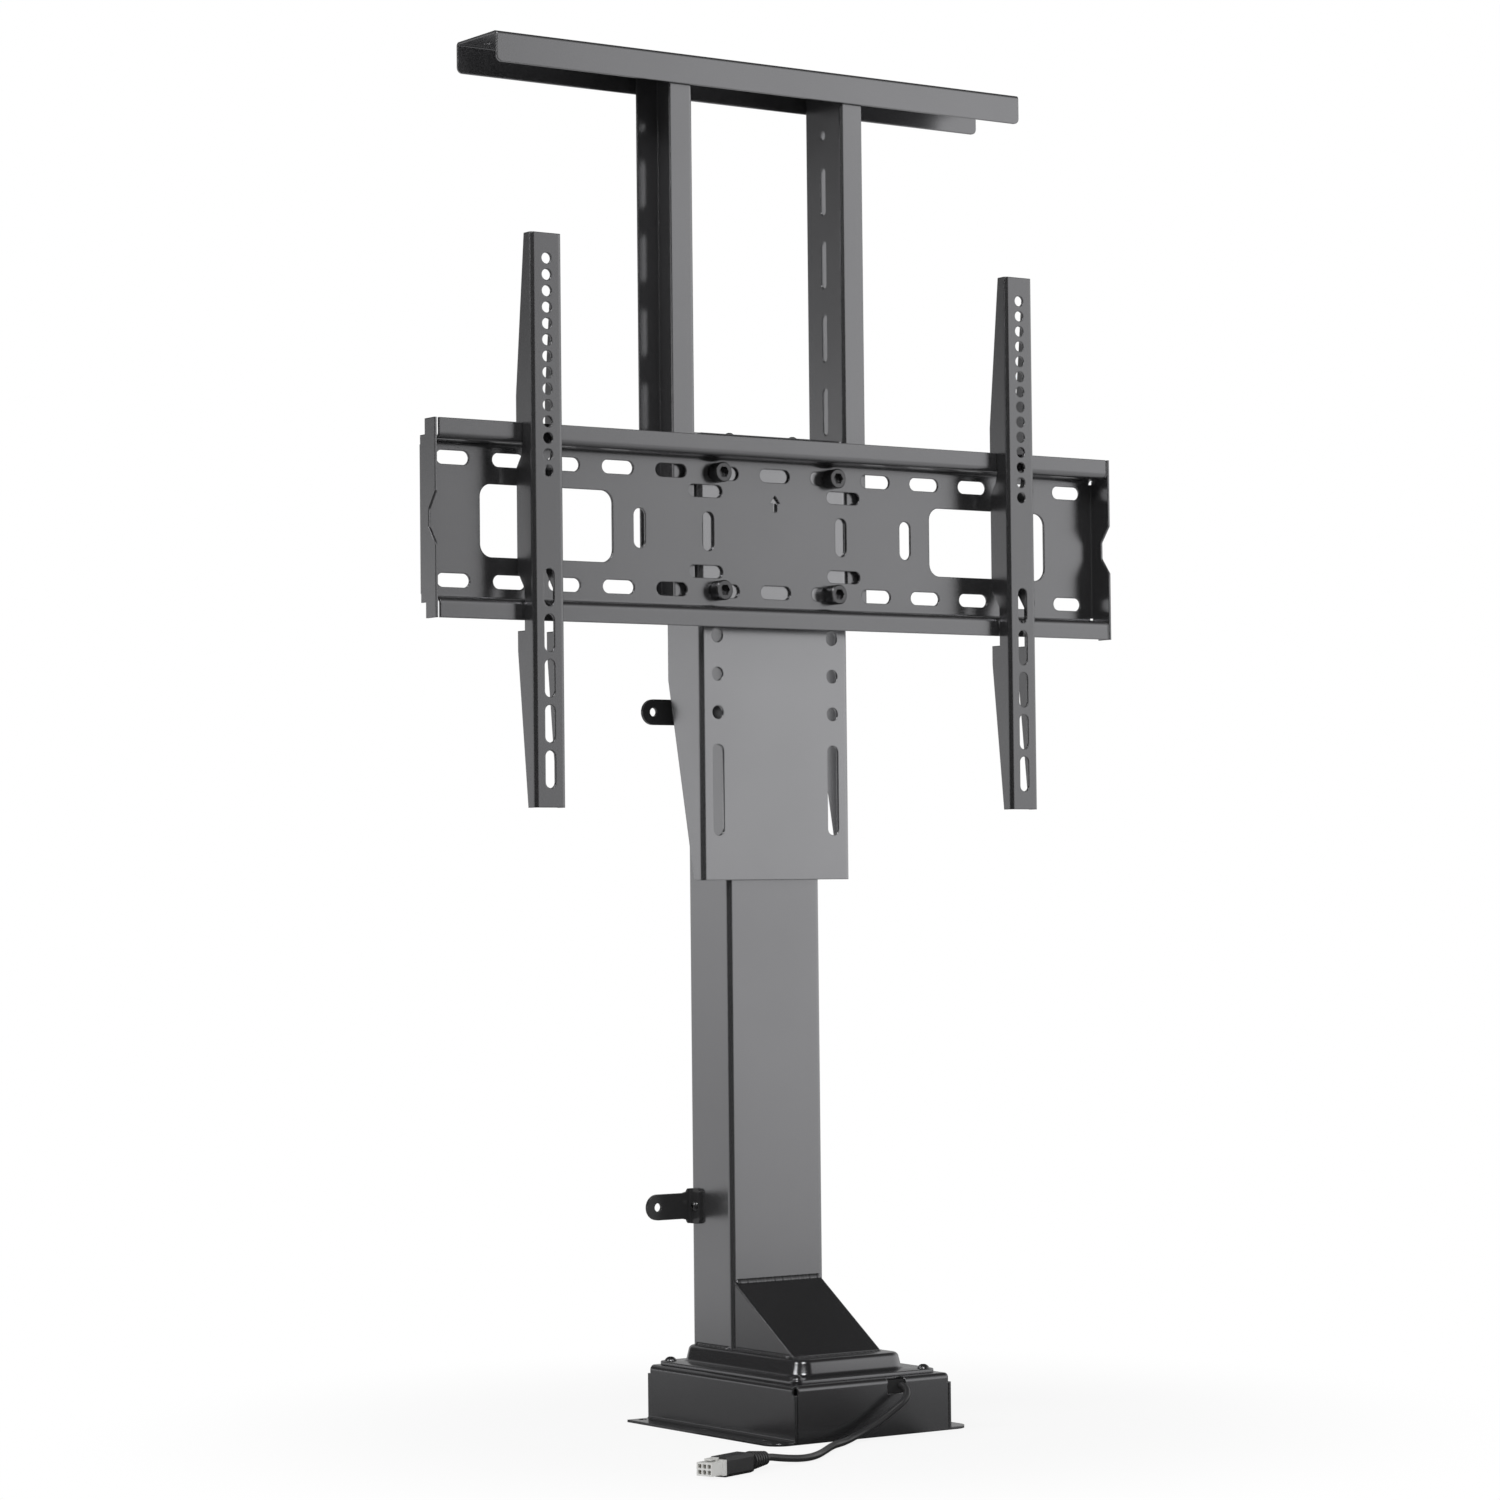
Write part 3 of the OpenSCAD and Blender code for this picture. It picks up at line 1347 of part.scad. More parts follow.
base_housing();
base_cover();
cover_screws();
outer_column();
front_brace();
weld_beads();
lower_wall_tab();
upper_wall_tab();
tab_screws();
cord_grommet();
cord();
connector_mould();
connector_housing();
connector_terminals();
gearbox_housing();
gearbox_lid();
gearbox_screws();
gearbox_nuts();
foot_bearing();
thrust_bearing();
drive_motor();
motor_end_cap();
motor_screws();
motor_lead();
column_collar();
lower_screw();
worm_wheel();
worm_shaft();
middle_column();
middle_foot();
lower_nut();
screw_bearing();
middle_glide();
middle_collar();
upper_screw();
drive_rod();
inner_column();
upper_nut();
inner_glide();
head_plate();
carriage();
head_screws();
tv_plate();
plate_bolts();
plate_nuts();
upright_bolts();
upright_nuts();
left_arm();
right_arm();
left_upright();
right_upright();
top_bracket();
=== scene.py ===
import json
import math

import bmesh
import bpy
from mathutils import Matrix, Vector


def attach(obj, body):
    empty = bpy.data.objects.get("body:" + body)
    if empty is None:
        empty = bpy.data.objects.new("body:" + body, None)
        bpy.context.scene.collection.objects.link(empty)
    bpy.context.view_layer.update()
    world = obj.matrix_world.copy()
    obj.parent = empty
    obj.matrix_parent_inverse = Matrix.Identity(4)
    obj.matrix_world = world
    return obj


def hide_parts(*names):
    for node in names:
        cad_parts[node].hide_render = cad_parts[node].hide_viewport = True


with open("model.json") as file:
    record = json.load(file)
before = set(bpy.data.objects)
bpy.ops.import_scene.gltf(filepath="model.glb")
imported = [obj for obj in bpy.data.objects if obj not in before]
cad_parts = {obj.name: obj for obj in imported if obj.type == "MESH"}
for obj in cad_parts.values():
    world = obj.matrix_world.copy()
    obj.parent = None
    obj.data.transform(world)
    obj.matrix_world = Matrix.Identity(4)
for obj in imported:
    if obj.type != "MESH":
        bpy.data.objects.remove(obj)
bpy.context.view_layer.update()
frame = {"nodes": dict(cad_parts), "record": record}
nodes = frame["nodes"]

# Camera, at the photograph's place and viewing angle
AZIMUTH = math.radians(35.011)
PITCH = math.radians(-1.935)
ROLL = math.radians(-0.589)
CAMERA_AT = (-1.9587, -2.7395, 0.4205)
FOCAL_PX = 4238.3
IMAGE_PX = 1500
SENSOR_MM = 36


def add_object(name, data):
    obj = bpy.data.objects.new(name, data)
    bpy.context.collection.objects.link(obj)
    return obj


def make_camera():
    flat = math.cos(PITCH)
    ahead = Vector((math.sin(AZIMUTH) * flat, math.cos(AZIMUTH) * flat, -math.sin(PITCH)))
    right = Vector((math.cos(AZIMUTH), -math.sin(AZIMUTH), 0))
    up = right.cross(ahead)
    side = right * math.cos(ROLL) + up * math.sin(ROLL)
    top = up * math.cos(ROLL) - right * math.sin(ROLL)
    data = bpy.data.cameras.new("camera")
    data.sensor_width = SENSOR_MM
    data.lens = SENSOR_MM * FOCAL_PX / IMAGE_PX
    data.clip_end = 50
    camera = add_object("camera", data)
    turn = Matrix((side, top, -ahead)).transposed().to_4x4()
    camera.matrix_world = Matrix.Translation(CAMERA_AT) @ turn
    bpy.context.scene.camera = camera


make_camera()


# Pieces that are drawn finer than the solids, in millimetres until finish_piece
def finish_piece(name, bm, smooth_angle):
    """Object at the origin, in metres, shaded smooth where its faces meet below an angle."""
    bmesh.ops.scale(bm, vec=(0.001, 0.001, 0.001), verts=bm.verts)
    bmesh.ops.recalc_face_normals(bm, faces=bm.faces)
    limit = math.radians(smooth_angle)
    for face in bm.faces:
        face.smooth = True
    for edge in bm.edges:
        edge.smooth = len(edge.link_faces) == 2 and edge.calc_face_angle(0) < limit
    mesh = bpy.data.meshes.new(name)
    bm.to_mesh(mesh)
    bm.free()
    return add_object(name, mesh)


# Control cord. The points repeat those of part.scad, which a separate fit to the photograph's cord worked out
CORD_D = 0.0054
CORD_POINTS = [
    (26.8, -93, 37.5), (26.8, -96.4, 37.5), (26.8, -99.6, 37.5), (26.9, -103.7, 36.4), (26.2, -107.1, 34.5),
    (24.6, -109.9, 32.2), (22.2, -111.8, 29.8), (19.2, -112.8, 27.4), (15.9, -113, 25.2),
    (9.2, -112.6, 21.1), (2.5, -112.3, 17.3), (-4.4, -112.2, 13.7), (-11.5, -112, 10.4),
    (-18.8, -111.9, 7.4), (-26.2, -112.9, 5), (-33.6, -115.3, 3.4), (-40.5, -119.2, 2.8),
    (-46.9, -123.9, 2.8), (-53.5, -128.1, 2.8), (-60.3, -132, 2.8), (-69.9, -139.5, 2.8),
    (-78.8, -147.5, 2.8), (-87.6, -155.6, 2.8), (-96.6, -163.6, 2.8), (-106, -171, 2.8),
    (-116.3, -177, 2.8), (-127.5, -180.8, 3.2), (-139.2, -182.5, 4.3), (-149.4, -183.8, 5.7),
    (-156.2, -184.8, 6.8), (-161, -186, 7.3), (-165.7, -187.6, 7.3),
]
# How many of the points hang in the air, and the heights that the two ends and the floor stretch are laid to
CORD_AIR = 16
CORD_EXIT_Z = 38.2
CORD_FLOOR_Z = 2.75
PLUG_Z = 7.25
# Drawn height of the floor stretch, and of both ends above it
DRAWN_FLOOR_Z = 2.8
DRAWN_EXIT_RISE = 34.7
DRAWN_PLUG_RISE = 4.5
CORD_BACK = 1
CURVE_STEPS = 6


def lay(point, i):
    """The route's point as part.scad lays it, in metres."""
    x, y, z = point
    if i < CORD_AIR:
        rise = (CORD_EXIT_Z - CORD_FLOOR_Z) / DRAWN_EXIT_RISE
    else:
        rise = (PLUG_Z - CORD_FLOOR_Z) / DRAWN_PLUG_RISE
    return Vector((x, y - CORD_BACK, CORD_FLOOR_Z + (z - DRAWN_FLOOR_Z) * rise)) / 1000


def smooth_route(points):
    """Points on a smooth curve through the given ones."""
    out = []
    for i in range(len(points) - 1):
        a = points[max(i - 1, 0)]
        b = points[i]
        c = points[i + 1]
        d = points[min(i + 2, len(points) - 1)]
        for k in range(CURVE_STEPS):
            t = k / CURVE_STEPS
            bend = (2 * a - 5 * b + 4 * c - d) * t * t + (3 * b - a - 3 * c + d) * t ** 3
            out.append(0.5 * (2 * b + (c - a) * t + bend))
    out.append(points[-1])
    return out


CORD_ROUTE = [lay(point, i) for i, point in enumerate(CORD_POINTS)]


def make_cord():
    curve = bpy.data.curves.new("control_cord", "CURVE")
    curve.dimensions = "3D"
    curve.bevel_depth = CORD_D / 2
    curve.bevel_resolution = 5
    curve.use_fill_caps = True
    line = smooth_route(CORD_ROUTE)
    spline = curve.splines.new("POLY")
    spline.points.add(len(line) - 1)
    for point, place in zip(spline.points, line):
        point.co = (*place, 1)
    spline.use_smooth = True
    cord = add_object("control_cord", curve)
    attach(cord, "base")
    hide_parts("cord")
    return cord


cord = make_cord()

# Cover plate with the pedestal that is pressed up from it
COVER_SIZE = (138, 189)
COVER_Y = 2.5
COVER_CORNER = 8
COVER_LOW = 44.5
SHEET = 3.0
COVER_TOP = COVER_LOW + SHEET
COVER_EDGE = 0.8
PEDESTAL_SIZE = (104, 163)
PEDESTAL_Y = 6.5
PEDESTAL_CORNER = 13
PEDESTAL_TOP = 60.0
PEDESTAL_RUN = 4.5
FOOT_ROUND = 3.5
TOP_ROUND = 4.0
TOP_LEAN = 0.9
BORE_SIZE = (36, 36)
BORE_CORNER = 17.99
BORE_Y = 53
UNDER_TOP_CORNER = 7
UNDER_FOOT_INSET = 3.5
UNDER_FOOT_CORNER = 10
UNDER_TOP_INSET = PEDESTAL_RUN + 2.5
CORNER_STEPS = 10


def cover_rows():
    """Outlines in turn, from the plate's edge over the pedestal into the bore and back below.

    Each row has a size, an inset from it on every side, a corner radius, a height and a middle in y.
    """
    rows = []
    for k in range(4):
        angle = math.radians(90) * k / 3
        inset = COVER_EDGE * (1 - math.cos(angle))
        height = COVER_TOP - COVER_EDGE + COVER_EDGE * math.sin(angle)
        rows.append((COVER_SIZE, inset, COVER_CORNER - inset, height, COVER_Y))
    for k in range(4):
        angle = math.radians(70) * k / 3
        inset = FOOT_ROUND * (math.sin(angle) - 1)
        height = COVER_TOP + FOOT_ROUND * (1 - math.cos(angle))
        rows.append((PEDESTAL_SIZE, inset, PEDESTAL_CORNER - inset, height, PEDESTAL_Y))
    for k in range(7):
        angle = math.radians(20) + math.radians(70) * k / 6
        inset = PEDESTAL_RUN + TOP_LEAN - TOP_ROUND * math.cos(angle)
        height = PEDESTAL_TOP - TOP_ROUND * (1 - math.sin(angle))
        rows.append((PEDESTAL_SIZE, inset, PEDESTAL_CORNER - inset, height, PEDESTAL_Y))
    under = PEDESTAL_TOP - SHEET
    rows.append((BORE_SIZE, 0, BORE_CORNER, PEDESTAL_TOP, BORE_Y))
    rows.append((BORE_SIZE, 0, BORE_CORNER, under, BORE_Y))
    rows.append((PEDESTAL_SIZE, UNDER_TOP_INSET, UNDER_TOP_CORNER, under, PEDESTAL_Y))
    rows.append((PEDESTAL_SIZE, UNDER_FOOT_INSET, UNDER_FOOT_CORNER, COVER_LOW, PEDESTAL_Y))
    rows.append((COVER_SIZE, 0, COVER_CORNER, COVER_LOW, COVER_Y))
    return rows


def make_cover():
    """One round-cornered outline, extruded from row to row until it meets its start."""
    bm = bmesh.new()
    layers = bm.verts.layers.float_vector
    side = layers.new("side")
    turn = layers.new("turn")
    corners = bmesh.ops.create_grid(bm, x_segments=1, y_segments=1, size=1)["verts"]
    bmesh.ops.bevel(bm, geom=corners, offset=0.5, segments=CORNER_STEPS, profile=0.5, material=-1,
                    affect="VERTICES")
    bmesh.ops.delete(bm, geom=bm.faces[:], context="FACES_ONLY")
    for vert in bm.verts:
        vert[side] = Vector((math.copysign(1, vert.co.x), math.copysign(1, vert.co.y), 0))
        vert[turn] = 2 * vert.co - vert[side]

    def lay_row(verts, row):
        """Puts each vertex into its own corner of the outline, at its own angle."""
        size, inset, corner, height, y = row
        for vert in verts:
            x_in = vert[side].x * (size[0] / 2 - inset - corner)
            y_in = vert[side].y * (size[1] / 2 - inset - corner)
            vert.co = Vector((x_in, y_in + y, height)) + corner * vert[turn]

    rows = cover_rows()
    lay_row(bm.verts, rows[0])
    edges = bm.edges[:]
    for row in rows[1:] + rows[:1]:
        made = bmesh.ops.extrude_edge_only(bm, edges=edges)["geom"]
        verts = {item for item in made if isinstance(item, bmesh.types.BMVert)}
        lines = [item for item in made if isinstance(item, bmesh.types.BMEdge)]
        edges = [line for line in lines if verts.issuperset(line.verts)]
        lay_row(verts, row)
    bmesh.ops.remove_doubles(bm, verts=bm.verts, dist=0.0001)
    for label in ("side", "turn"):
        layers.remove(layers[label])
    cover = finish_piece("base_cover_pressed", bm, smooth_angle=50)
    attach(cover, "base")
    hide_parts("base_cover")
    return cover


cover = make_cover()

# Weld beads round the column's foot and along the brace
COLUMN_W = 90
COLUMN_FRONT = 25
COLUMN_BACK = 81
BRACE_W = 85
BRACE_D = 80.5
BRACE_H = 53
BEAD_LEG = 2.5
BEAD_ROOT = 0.1
BEAD_END = 1.5
BEAD_STEP = 0.45
BEAD_FADE = 1.6
BEAD_HOLLOW = 0.14
BEAD_ARC = 6
RIPPLE = 2.6
RIPPLE_DEPTH = 0.10
RIPPLE_MEAN = 0.6
WANDER = 0.05
END_SHARE = 0.45
SIDE_BEAD = 47
SIDE_BEAD_IN = 4.5
BACK_BEAD_IN = 4
BRACE_TOE = 0.4
BRACE_SIDE_IN = 7


def bead_leg(x, length, seed):
    """Leg of a bead at a place along it: ripples that overlap like scales, thinner at both ends."""
    phase = (x / RIPPLE + seed) % 1
    scale = 1 + RIPPLE_DEPTH * (math.sqrt(phase) - RIPPLE_MEAN)
    scale += WANDER * math.sin(1.3 * x + 5 * seed) * math.sin(0.37 * x + seed)
    end = min(x, length - x)
    return BEAD_LEG * scale * min(1, END_SHARE + (1 - END_SHARE) * math.sqrt(min(end / BEAD_FADE, 1)))


def add_bead(bm, start, along, length, out, up, seed):
    """Fillet of weld metal from start, between the directions out and up: a grid rolled round its root."""
    start = Vector(start)
    along = Vector(along).normalized()
    out = Vector(out).normalized()
    up = Vector(up).normalized()
    rows = BEAD_ARC + 2
    steps = int(length / BEAD_STEP)
    grid = bmesh.ops.create_grid(bm, x_segments=steps, y_segments=rows, size=0.5)["verts"]
    for vert in grid:
        x = length * round((vert.co.x + 0.5) * steps) / steps
        row = round((vert.co.y + 0.5) * rows)
        centre = start + along * x
        if row in (0, rows):
            vert.co = centre - BEAD_ROOT * (out + up)
        else:
            angle = math.radians(90) * (row - 1) / BEAD_ARC
            crown = bead_leg(x, length, seed) * (1 - BEAD_HOLLOW * math.sin(2 * angle))
            vert.co = centre + (out * math.cos(angle) + up * math.sin(angle)) * crown
    bmesh.ops.remove_doubles(bm, verts=grid, dist=0.0001)


def make_welds():
    bm = bmesh.new()
    foot = PEDESTAL_TOP
    front = COLUMN_FRONT
    slope = Vector((0, BRACE_D, BRACE_H))
    across = BRACE_W - 2 * BEAD_END
    left = -BRACE_W / 2 + BEAD_END
    add_bead(bm, (left, front - BRACE_D + BRACE_TOE, foot), (1, 0, 0), across, (0, -1, 0), slope, 0.1)
    add_bead(bm, (left, front, foot + BRACE_H), (1, 0, 0), across, -slope, (0, 0, 1), 0.4)
    for side in (-1, 1):
        beside = (side, 0, 0)
        add_bead(bm, (side * BRACE_W / 2, front - 1, foot), (0, -1, 0), BRACE_D - BRACE_SIDE_IN, beside,
                 (0, 0, 1), 0.3 + side)
        add_bead(bm, (side * COLUMN_W / 2, COLUMN_BACK - SIDE_BEAD_IN, foot), (0, -1, 0), SIDE_BEAD, beside,
                 (0, 0, 1), 0.6 + side)
    add_bead(bm, (-COLUMN_W / 2 + BACK_BEAD_IN, COLUMN_BACK, foot), (1, 0, 0), COLUMN_W - 2 * BACK_BEAD_IN,
             (0, 1, 0), (0, 0, 1), 0.8)
    bmesh.ops.holes_fill(bm, edges=[edge for edge in bm.edges if edge.is_boundary], sides=0)
    welds = finish_piece("weld_seams", bm, smooth_angle=55)
    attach(welds, "base")
    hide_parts("weld_beads")
    return welds


welds = make_welds()


# Node helpers. Each one adds a node to a tree and gives its output
def maths(tree, operation, a, b):
    node = tree.nodes.new("ShaderNodeMath")
    node.operation = operation
    for socket, value in zip(node.inputs, (a, b)):
        if isinstance(value, bpy.types.NodeSocket):
            tree.links.new(value, socket)
        else:
            socket.default_value = value
    return node.outputs[0]


def ramp(tree, source, start, end, first, last):
    """Smooth step of a value between start and end, from first to last."""
    node = tree.nodes.new("ShaderNodeMapRange")
    node.interpolation_type = "SMOOTHSTEP"
    for label, value in (("From Min", start), ("From Max", end), ("To Min", first), ("To Max", last)):
        node.inputs[label].default_value = value
    tree.links.new(source, node.inputs["Value"])
    return node.outputs["Result"]


def choose(tree, factor, a, b):
    """Value a where the factor is 0 and b where it is 1."""
    node = tree.nodes.new("ShaderNodeMix")
    node.data_type = "FLOAT"
    tree.links.new(factor, node.inputs[0])
    tree.links.new(a, node.inputs[2])
    if isinstance(b, float):
        node.inputs[3].default_value = b
    else:
        tree.links.new(b, node.inputs[3])
    return node.outputs[0]


def vector(tree, operation, a, b=None):
    node = tree.nodes.new("ShaderNodeVectorMath")
    node.operation = operation
    tree.links.new(a, node.inputs[0])
    if b is not None:
        node.inputs[1].default_value = b
    return node.outputs["Value" if operation in ("DOT_PRODUCT", "LENGTH") else "Vector"]


def split(tree, source):
    node = tree.nodes.new("ShaderNodeSeparateXYZ")
    tree.links.new(source, node.inputs[0])
    return node.outputs


# Coat grain, shared by every material
GRAIN_HEIGHT = 0.0004
MOTTLE_SCALE = 9
GLOSS_SPREAD = 0.10
EDGE_SAMPLES = 6


def grain_group():
    """Fine orange peel and rounded edges as a normal, with a soft variation of tone and gloss."""
    group = bpy.data.node_groups.new("coat_grain", "ShaderNodeTree")
    for label, kind, value in (
        ("Color", "NodeSocketColor", (0.1, 0.1, 0.1, 1)),
        ("Roughness", "NodeSocketFloat", 0.45),
        ("Scale", "NodeSocketFloat", 900.0),
        ("Depth", "NodeSocketFloat", 0.25),
        ("Mottle", "NodeSocketFloat", 0.06),
        ("Edge", "NodeSocketFloat", 0.0004),
    ):
        group.interface.new_socket(label, in_out="INPUT", socket_type=kind).default_value = value
    for label, kind in (("Color", "NodeSocketColor"), ("Roughness", "NodeSocketFloat"),
                        ("Normal", "NodeSocketVector")):
        group.interface.new_socket(label, in_out="OUTPUT", socket_type=kind)
    given = group.nodes.new("NodeGroupInput").outputs
    result = group.nodes.new("NodeGroupOutput").inputs
    link = group.links.new
    place = group.nodes.new("ShaderNodeTexCoord").outputs["Object"]
    fine = group.nodes.new("ShaderNodeTexNoise")
    fine.inputs["Detail"].default_value = 3
    fine.inputs["Roughness"].default_value = 0.6
    link(place, fine.inputs["Vector"])
    link(given["Scale"], fine.inputs["Scale"])
    broad = group.nodes.new("ShaderNodeTexNoise")
    broad.inputs["Scale"].default_value = MOTTLE_SCALE
    broad.inputs["Detail"].default_value = 4
    link(place, broad.inputs["Vector"])

    edge = group.nodes.new("ShaderNodeBevel")
    edge.samples = EDGE_SAMPLES
    link(given["Edge"], edge.inputs["Radius"])
    bump = group.nodes.new("ShaderNodeBump")
    bump.inputs["Distance"].default_value = GRAIN_HEIGHT
    link(given["Depth"], bump.inputs["Strength"])
    link(fine.outputs["Fac"], bump.inputs["Height"])
    link(edge.outputs["Normal"], bump.inputs["Normal"])
    link(bump.outputs["Normal"], result["Normal"])

    def swing(noise, amount):
        """Noise about zero, times an amount."""
        return maths(group, "MULTIPLY", maths(group, "SUBTRACT", noise.outputs["Fac"], 0.5), amount)

    tone = maths(group, "ADD", swing(broad, given["Mottle"]), swing(fine, given["Depth"]))
    scale = group.nodes.new("ShaderNodeVectorMath")
    scale.operation = "SCALE"
    link(given["Color"], scale.inputs[0])
    link(maths(group, "ADD", tone, 1), scale.inputs["Scale"])
    link(scale.outputs["Vector"], result["Color"])
    gloss = maths(group, "ADD", given["Roughness"], swing(broad, GLOSS_SPREAD))
    gloss.node.use_clamp = True
    link(gloss, result["Roughness"])
    return group


GRAIN = grain_group()

# Materials, one for each slot of the record
MATERIALS = {}
SHEET_EDGE = 0.0012
SMALL_EDGE = 0.0004
COAT_METAL = 0.92
THREAD_DEPTH = 0.0008
SCREW_PITCH = 0.004


def add_thread(tree, normal, pitch):
    """Ridges along Z for a screw, laid over a normal."""
    wave = tree.nodes.new("ShaderNodeTexWave")
    wave.wave_type = "BANDS"
    wave.bands_direction = "Z"
    wave.inputs["Scale"].default_value = 2 * math.pi / pitch / 20
    wave.inputs["Distortion"].default_value = 0
    tree.links.new(tree.nodes.new("ShaderNodeTexCoord").outputs["Object"], wave.inputs["Vector"])
    bump = tree.nodes.new("ShaderNodeBump")
    bump.inputs["Distance"].default_value = THREAD_DEPTH
    tree.links.new(wave.outputs["Fac"], bump.inputs["Height"])
    tree.links.new(normal, bump.inputs["Normal"])
    return bump.outputs["Normal"]


def surface(name, color, rough, scale, depth, metallic=0.0, mottle=0.06, edge=SMALL_EDGE, thread=None):
    """Principled surface fed by the grain group; thread is the pitch of a screw's ridges in metres."""
    mat = bpy.data.materials.new(name)
    mat.use_nodes = True
    tree = mat.node_tree
    shader = tree.nodes["Principled BSDF"]
    grain = tree.nodes.new("ShaderNodeGroup")
    grain.node_tree = GRAIN
    for label, value in (("Color", (*color, 1)), ("Roughness", rough), ("Scale", scale), ("Depth", depth),
                         ("Mottle", mottle), ("Edge", edge)):
        grain.inputs[label].default_value = value
    tree.links.new(grain.outputs["Color"], shader.inputs["Base Color"])
    tree.links.new(grain.outputs["Roughness"], shader.inputs["Roughness"])
    normal = grain.outputs["Normal"]
    if thread:
        normal = add_thread(tree, normal, thread)
    tree.links.new(normal, shader.inputs["Normal"])
    shader.inputs["Metallic"].default_value = metallic
    mat.diffuse_color = (*color, 1)
    MATERIALS[name] = mat


def grey(tone):
    """Grey with a trace of blue."""
    return (tone, tone, tone * 1.03)


def sheet_coat(name, tone, rough, scale, depth, mottle):
    """Dark metallic coat of folded sheet, whose cut edges and bends shade as rounded ones."""
    surface(name, grey(tone), rough, scale, depth, metallic=COAT_METAL, mottle=mottle, edge=SHEET_EDGE)


def bare_metal(name, color, rough, scale, depth, thread=None):
    surface(name, color, rough, scale, depth, metallic=1, thread=thread)


sheet_coat("base_coat", 0.20, 0.20, 1400, 0.05, 0.04)
sheet_coat("column_coat", 0.34, 0.22, 1500, 0.05, 0.03)
sheet_coat("stage_coat", 0.28, 0.22, 1500, 0.05, 0.03)
sheet_coat("carriage_coat", 0.38, 0.22, 1300, 0.06, 0.04)
sheet_coat("plate_coat", 0.25, 0.25, 1100, 0.08, 0.06)
sheet_coat("arm_coat", 0.22, 0.25, 1100, 0.06, 0.06)
sheet_coat("frame_coat", 0.28, 0.24, 1200, 0.06, 0.05)
surface("tab_coat", grey(0.03), 0.18, 700, 0.05)
surface("black_oxide", grey(0.14), 0.26, 1600, 0.08, metallic=0.9)
surface("motor_can", grey(0.12), 0.35, 1200, 0.08, metallic=0.6)
surface("black_rubber", grey(0.02), 0.7, 2000, 0.2)
surface("cord_jacket", grey(0.035), 0.32, 1600, 0.08)
surface("connector_black", grey(0.034), 0.36, 2400, 0.15)
surface("connector_white", (0.72, 0.72, 0.70), 0.4, 1500, 0.06)
surface("black_plastic", grey(0.03), 0.5, 2000, 0.25)
surface("glide_plastic", grey(0.03), 0.38, 1500, 0.08)
bare_metal("zinc_screw", (0.62, 0.62, 0.6), 0.3, 1200, 0.08)
bare_metal("terminal_metal", (0.7, 0.66, 0.55), 0.3, 1500, 0.05)
bare_metal("cast_alloy", (0.55, 0.55, 0.56), 0.5, 500, 0.35)
bare_metal("bearing_steel", (0.66, 0.66, 0.66), 0.22, 900, 0.05)
bare_metal("screw_steel", (0.5, 0.5, 0.5), 0.28, 900, 0.1, thread=SCREW_PITCH)
bare_metal("bronze", (0.6, 0.42, 0.18), 0.35, 900, 0.1)


def dress(obj, slot):
    """Gives every material slot of an object one material."""
    if not obj.data.materials:
        obj.data.materials.append(MATERIALS[slot])
    for holder in obj.material_slots:
        holder.material = MATERIALS[slot]


for row in frame["record"]["subparts"]:
    dress(nodes[row["node"]], row["material_slot"])
dress(cord, "cord_jacket")
dress(cover, "base_coat")
dress(welds, "base_coat")

# Floor, backdrop and lamps. Reflections see two broad walls with a dark gap round the camera
TOWARD_CAMERA = (-0.574, -0.819, 0)
FLOOR_RADIUS = 4.0
FLOOR_SINK = 0.0001
FLOOR_GREY = 0.86


def floor_reflection(tree, place):
    """Strength of the floor in reflections: dim near the part, on the far left and toward the camera."""
    toward = vector(tree, "DOT_PRODUCT", vector(tree, "NORMALIZE", place), TOWARD_CAMERA)
    gap = ramp(tree, toward, 0.40, 0.56, 1.0, 0.08)
    left = ramp(tree, split(tree, place)["X"], -1.5, -0.4, 0.55, 1.0)
    away = ramp(tree, vector(tree, "LENGTH", place), 0.15, 1.6, 0.18, 0.58)
    return maths(tree, "MULTIPLY", maths(tree, "MULTIPLY", gap, left), away)


def make_floor():
    """Pale floor that fades into the backdrop and keeps the object's shadow."""
    bm = bmesh.new()
    bmesh.ops.create_circle(bm, cap_ends=True, radius=FLOOR_RADIUS, segments=96)
    mesh = bpy.data.meshes.new("floor")
    bm.to_mesh(mesh)
    bm.free()
    floor = add_object("floor", mesh)
    floor.location.z = -FLOOR_SINK
    mat = bpy.data.materials.new("floor")
    mat.use_nodes = True
    tree = mat.node_tree
    tree.nodes.clear()

    def blend(factor, first, second):
        node = tree.nodes.new("ShaderNodeMixShader")
        tree.links.new(factor, node.inputs["Fac"])
        tree.links.new(first, node.inputs[1])
        tree.links.new(second, node.inputs[2])
        return node.outputs[0]

    ray = tree.nodes.new("ShaderNodeLightPath").outputs
    place = tree.nodes.new("ShaderNodeTexCoord").outputs["Object"]
    diffuse = tree.nodes.new("ShaderNodeBsdfDiffuse")
    diffuse.inputs["Color"].default_value = (FLOOR_GREY, FLOOR_GREY, FLOOR_GREY, 1)
    white = tree.nodes.new("ShaderNodeEmission")
    mirror = tree.nodes.new("ShaderNodeEmission")
    tree.links.new(floor_reflection(tree, place), mirror.inputs["Strength"])
    fade = ramp(tree, vector(tree, "LENGTH", place), 0.2, 0.6, 0.86, 1.0)
    shown = blend(fade, diffuse.outputs[0], white.outputs[0])
    seen = maths(tree, "MAXIMUM", ray["Is Camera Ray"], ray["Is Transmission Ray"])
    result = blend(seen, diffuse.outputs[0], shown)
    result = blend(ray["Is Glossy Ray"], result, mirror.outputs[0])
    tree.links.new(result, tree.nodes.new("ShaderNodeOutputMaterial").inputs["Surface"])
    floor.data.materials.append(mat)


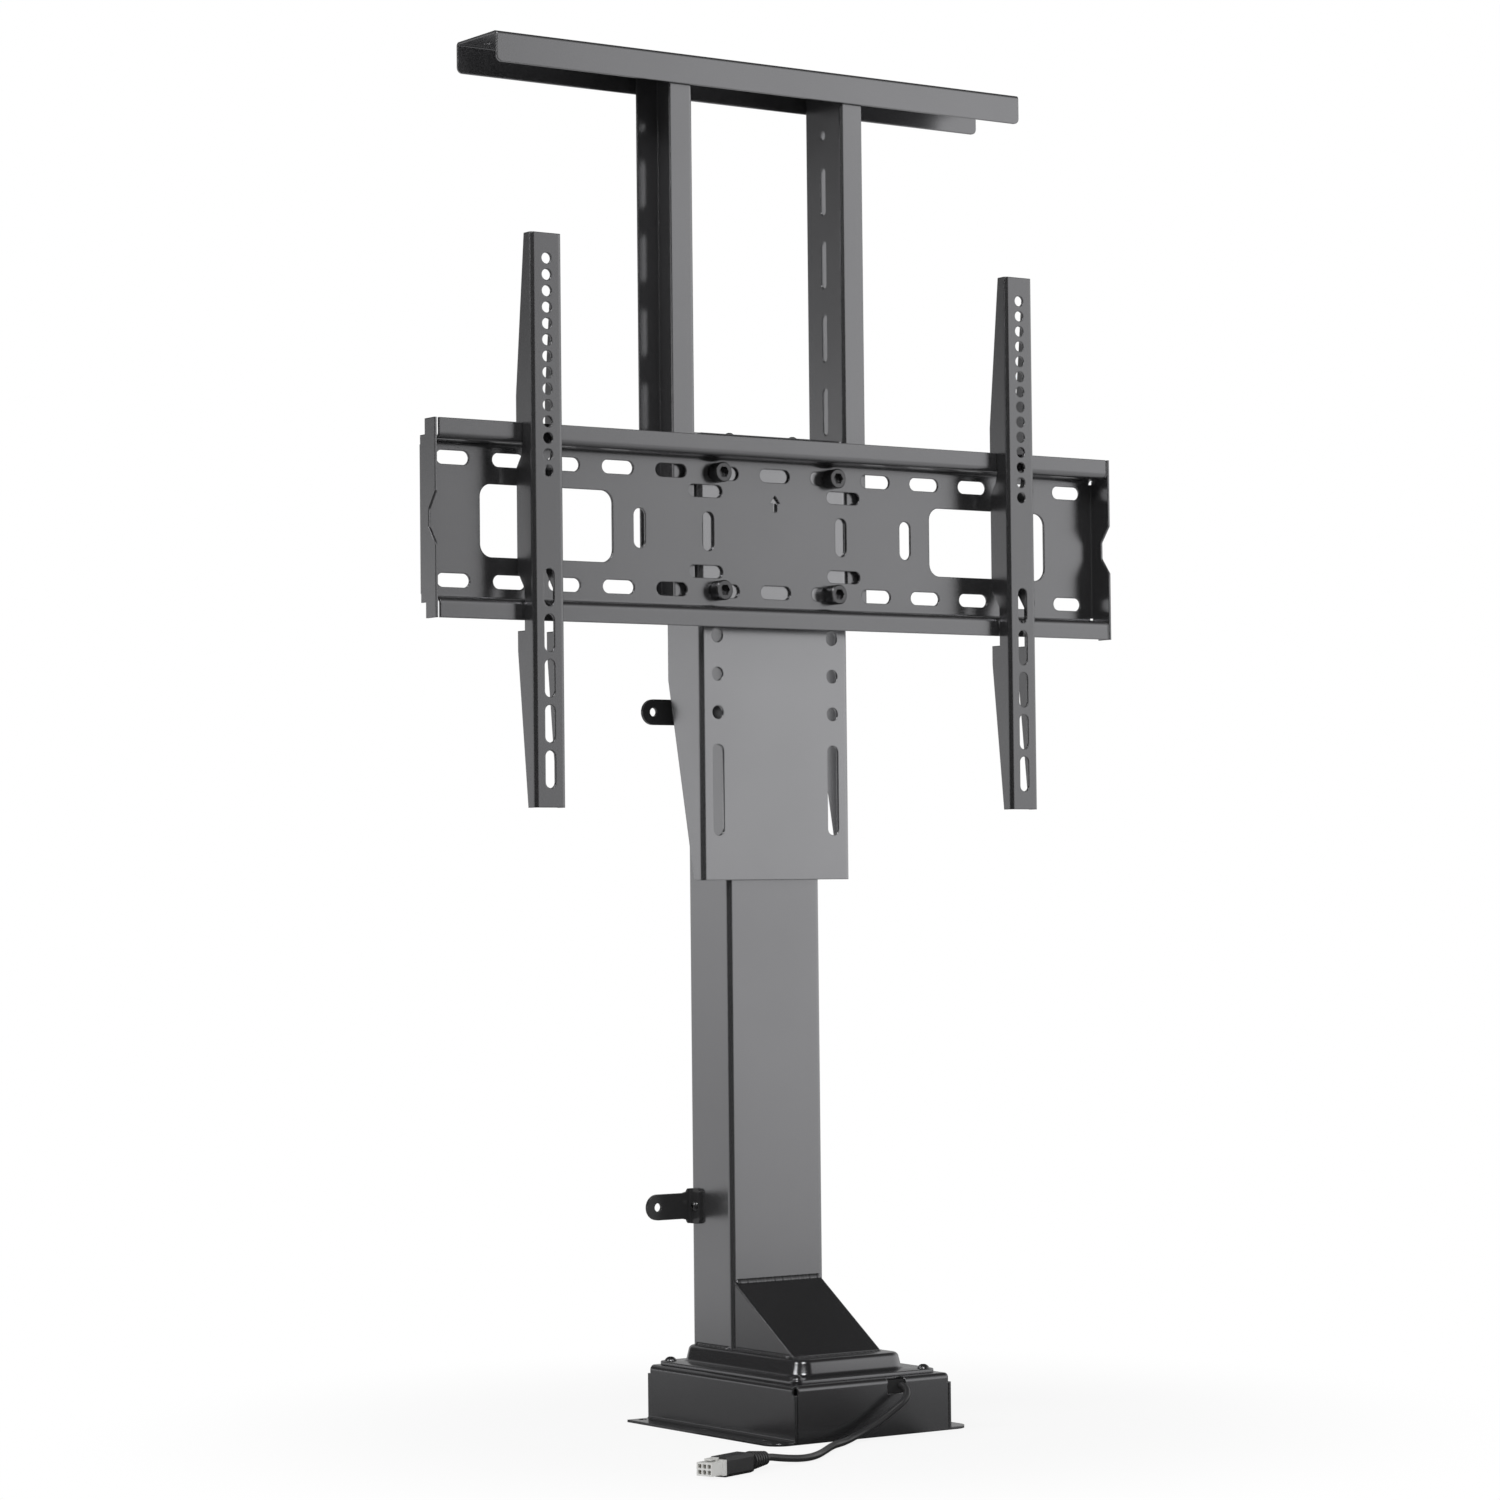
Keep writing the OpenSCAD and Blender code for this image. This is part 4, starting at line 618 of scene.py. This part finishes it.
def wall_light(tree, direction):
    """Strength of the backdrop in reflections, by direction."""
    axis = split(tree, direction)
    level = vector(tree, "NORMALIZE", vector(tree, "MULTIPLY", direction, (1, 1, 0)))
    toward = vector(tree, "DOT_PRODUCT", level, TOWARD_CAMERA)
    front_gap = ramp(tree, toward, 0.36, 0.50, 1.0, 0.02)
    back_gap = ramp(tree, toward, -0.95, -0.72, 0.45, 1.0)
    right_top = ramp(tree, axis["Z"], 0.26, 0.80, 1.0, 0.04)
    right_low = ramp(tree, axis["Z"], -0.10, 0.06, 0.68, 1.0)
    left_top = ramp(tree, axis["Z"], 0.05, 0.14, 1.0, 0.05)
    left_low = ramp(tree, axis["Z"], -0.08, 0.045, 0.30, 0.88)
    right_wall = maths(tree, "MULTIPLY", right_top, right_low)
    left_wall = maths(tree, "MULTIPLY", left_top, left_low)
    side = ramp(tree, axis["X"], -0.3, 0.1, 0.0, 1.0)
    gaps = maths(tree, "MULTIPLY", front_gap, back_gap)
    return maths(tree, "MULTIPLY", gaps, choose(tree, side, left_wall, right_wall))


def make_world():
    """White backdrop for the camera, soft sky for the light, and walls in reflections."""
    world = bpy.data.worlds.new("studio")
    world.use_nodes = True
    bpy.context.scene.world = world
    tree = world.node_tree
    ray = tree.nodes.new("ShaderNodeLightPath").outputs
    direction = tree.nodes.new("ShaderNodeTexCoord").outputs["Generated"]
    sky = ramp(tree, split(tree, direction)["Z"], 0.1, 0.95, 0.75, 0.2)
    light = choose(tree, ray["Is Glossy Ray"], sky, wall_light(tree, direction))
    seen = maths(tree, "MAXIMUM", ray["Is Camera Ray"], ray["Is Transmission Ray"])
    back = tree.nodes["Background"]
    back.inputs["Color"].default_value = (1, 1, 1, 1)
    tree.links.new(choose(tree, seen, light, 1.0), back.inputs["Strength"])


def add_lamp(name, place, target, size, watts):
    data = bpy.data.lights.new(name, "AREA")
    data.size = size
    data.energy = watts
    obj = add_object(name, data)
    aim = Vector(target) - Vector(place)
    obj.matrix_world = Matrix.Translation(place) @ aim.to_track_quat("-Z", "Y").to_matrix().to_4x4()


make_floor()
make_world()
add_lamp("key", (-1.2, -2.0, 2.9), (0, 0, 0.5), 1.2, 40)
add_lamp("fill", (-2.6, 0.3, 2.2), (0, 0, 0.4), 1.2, 20)

bpy.context.scene.view_settings.view_transform = "Standard"
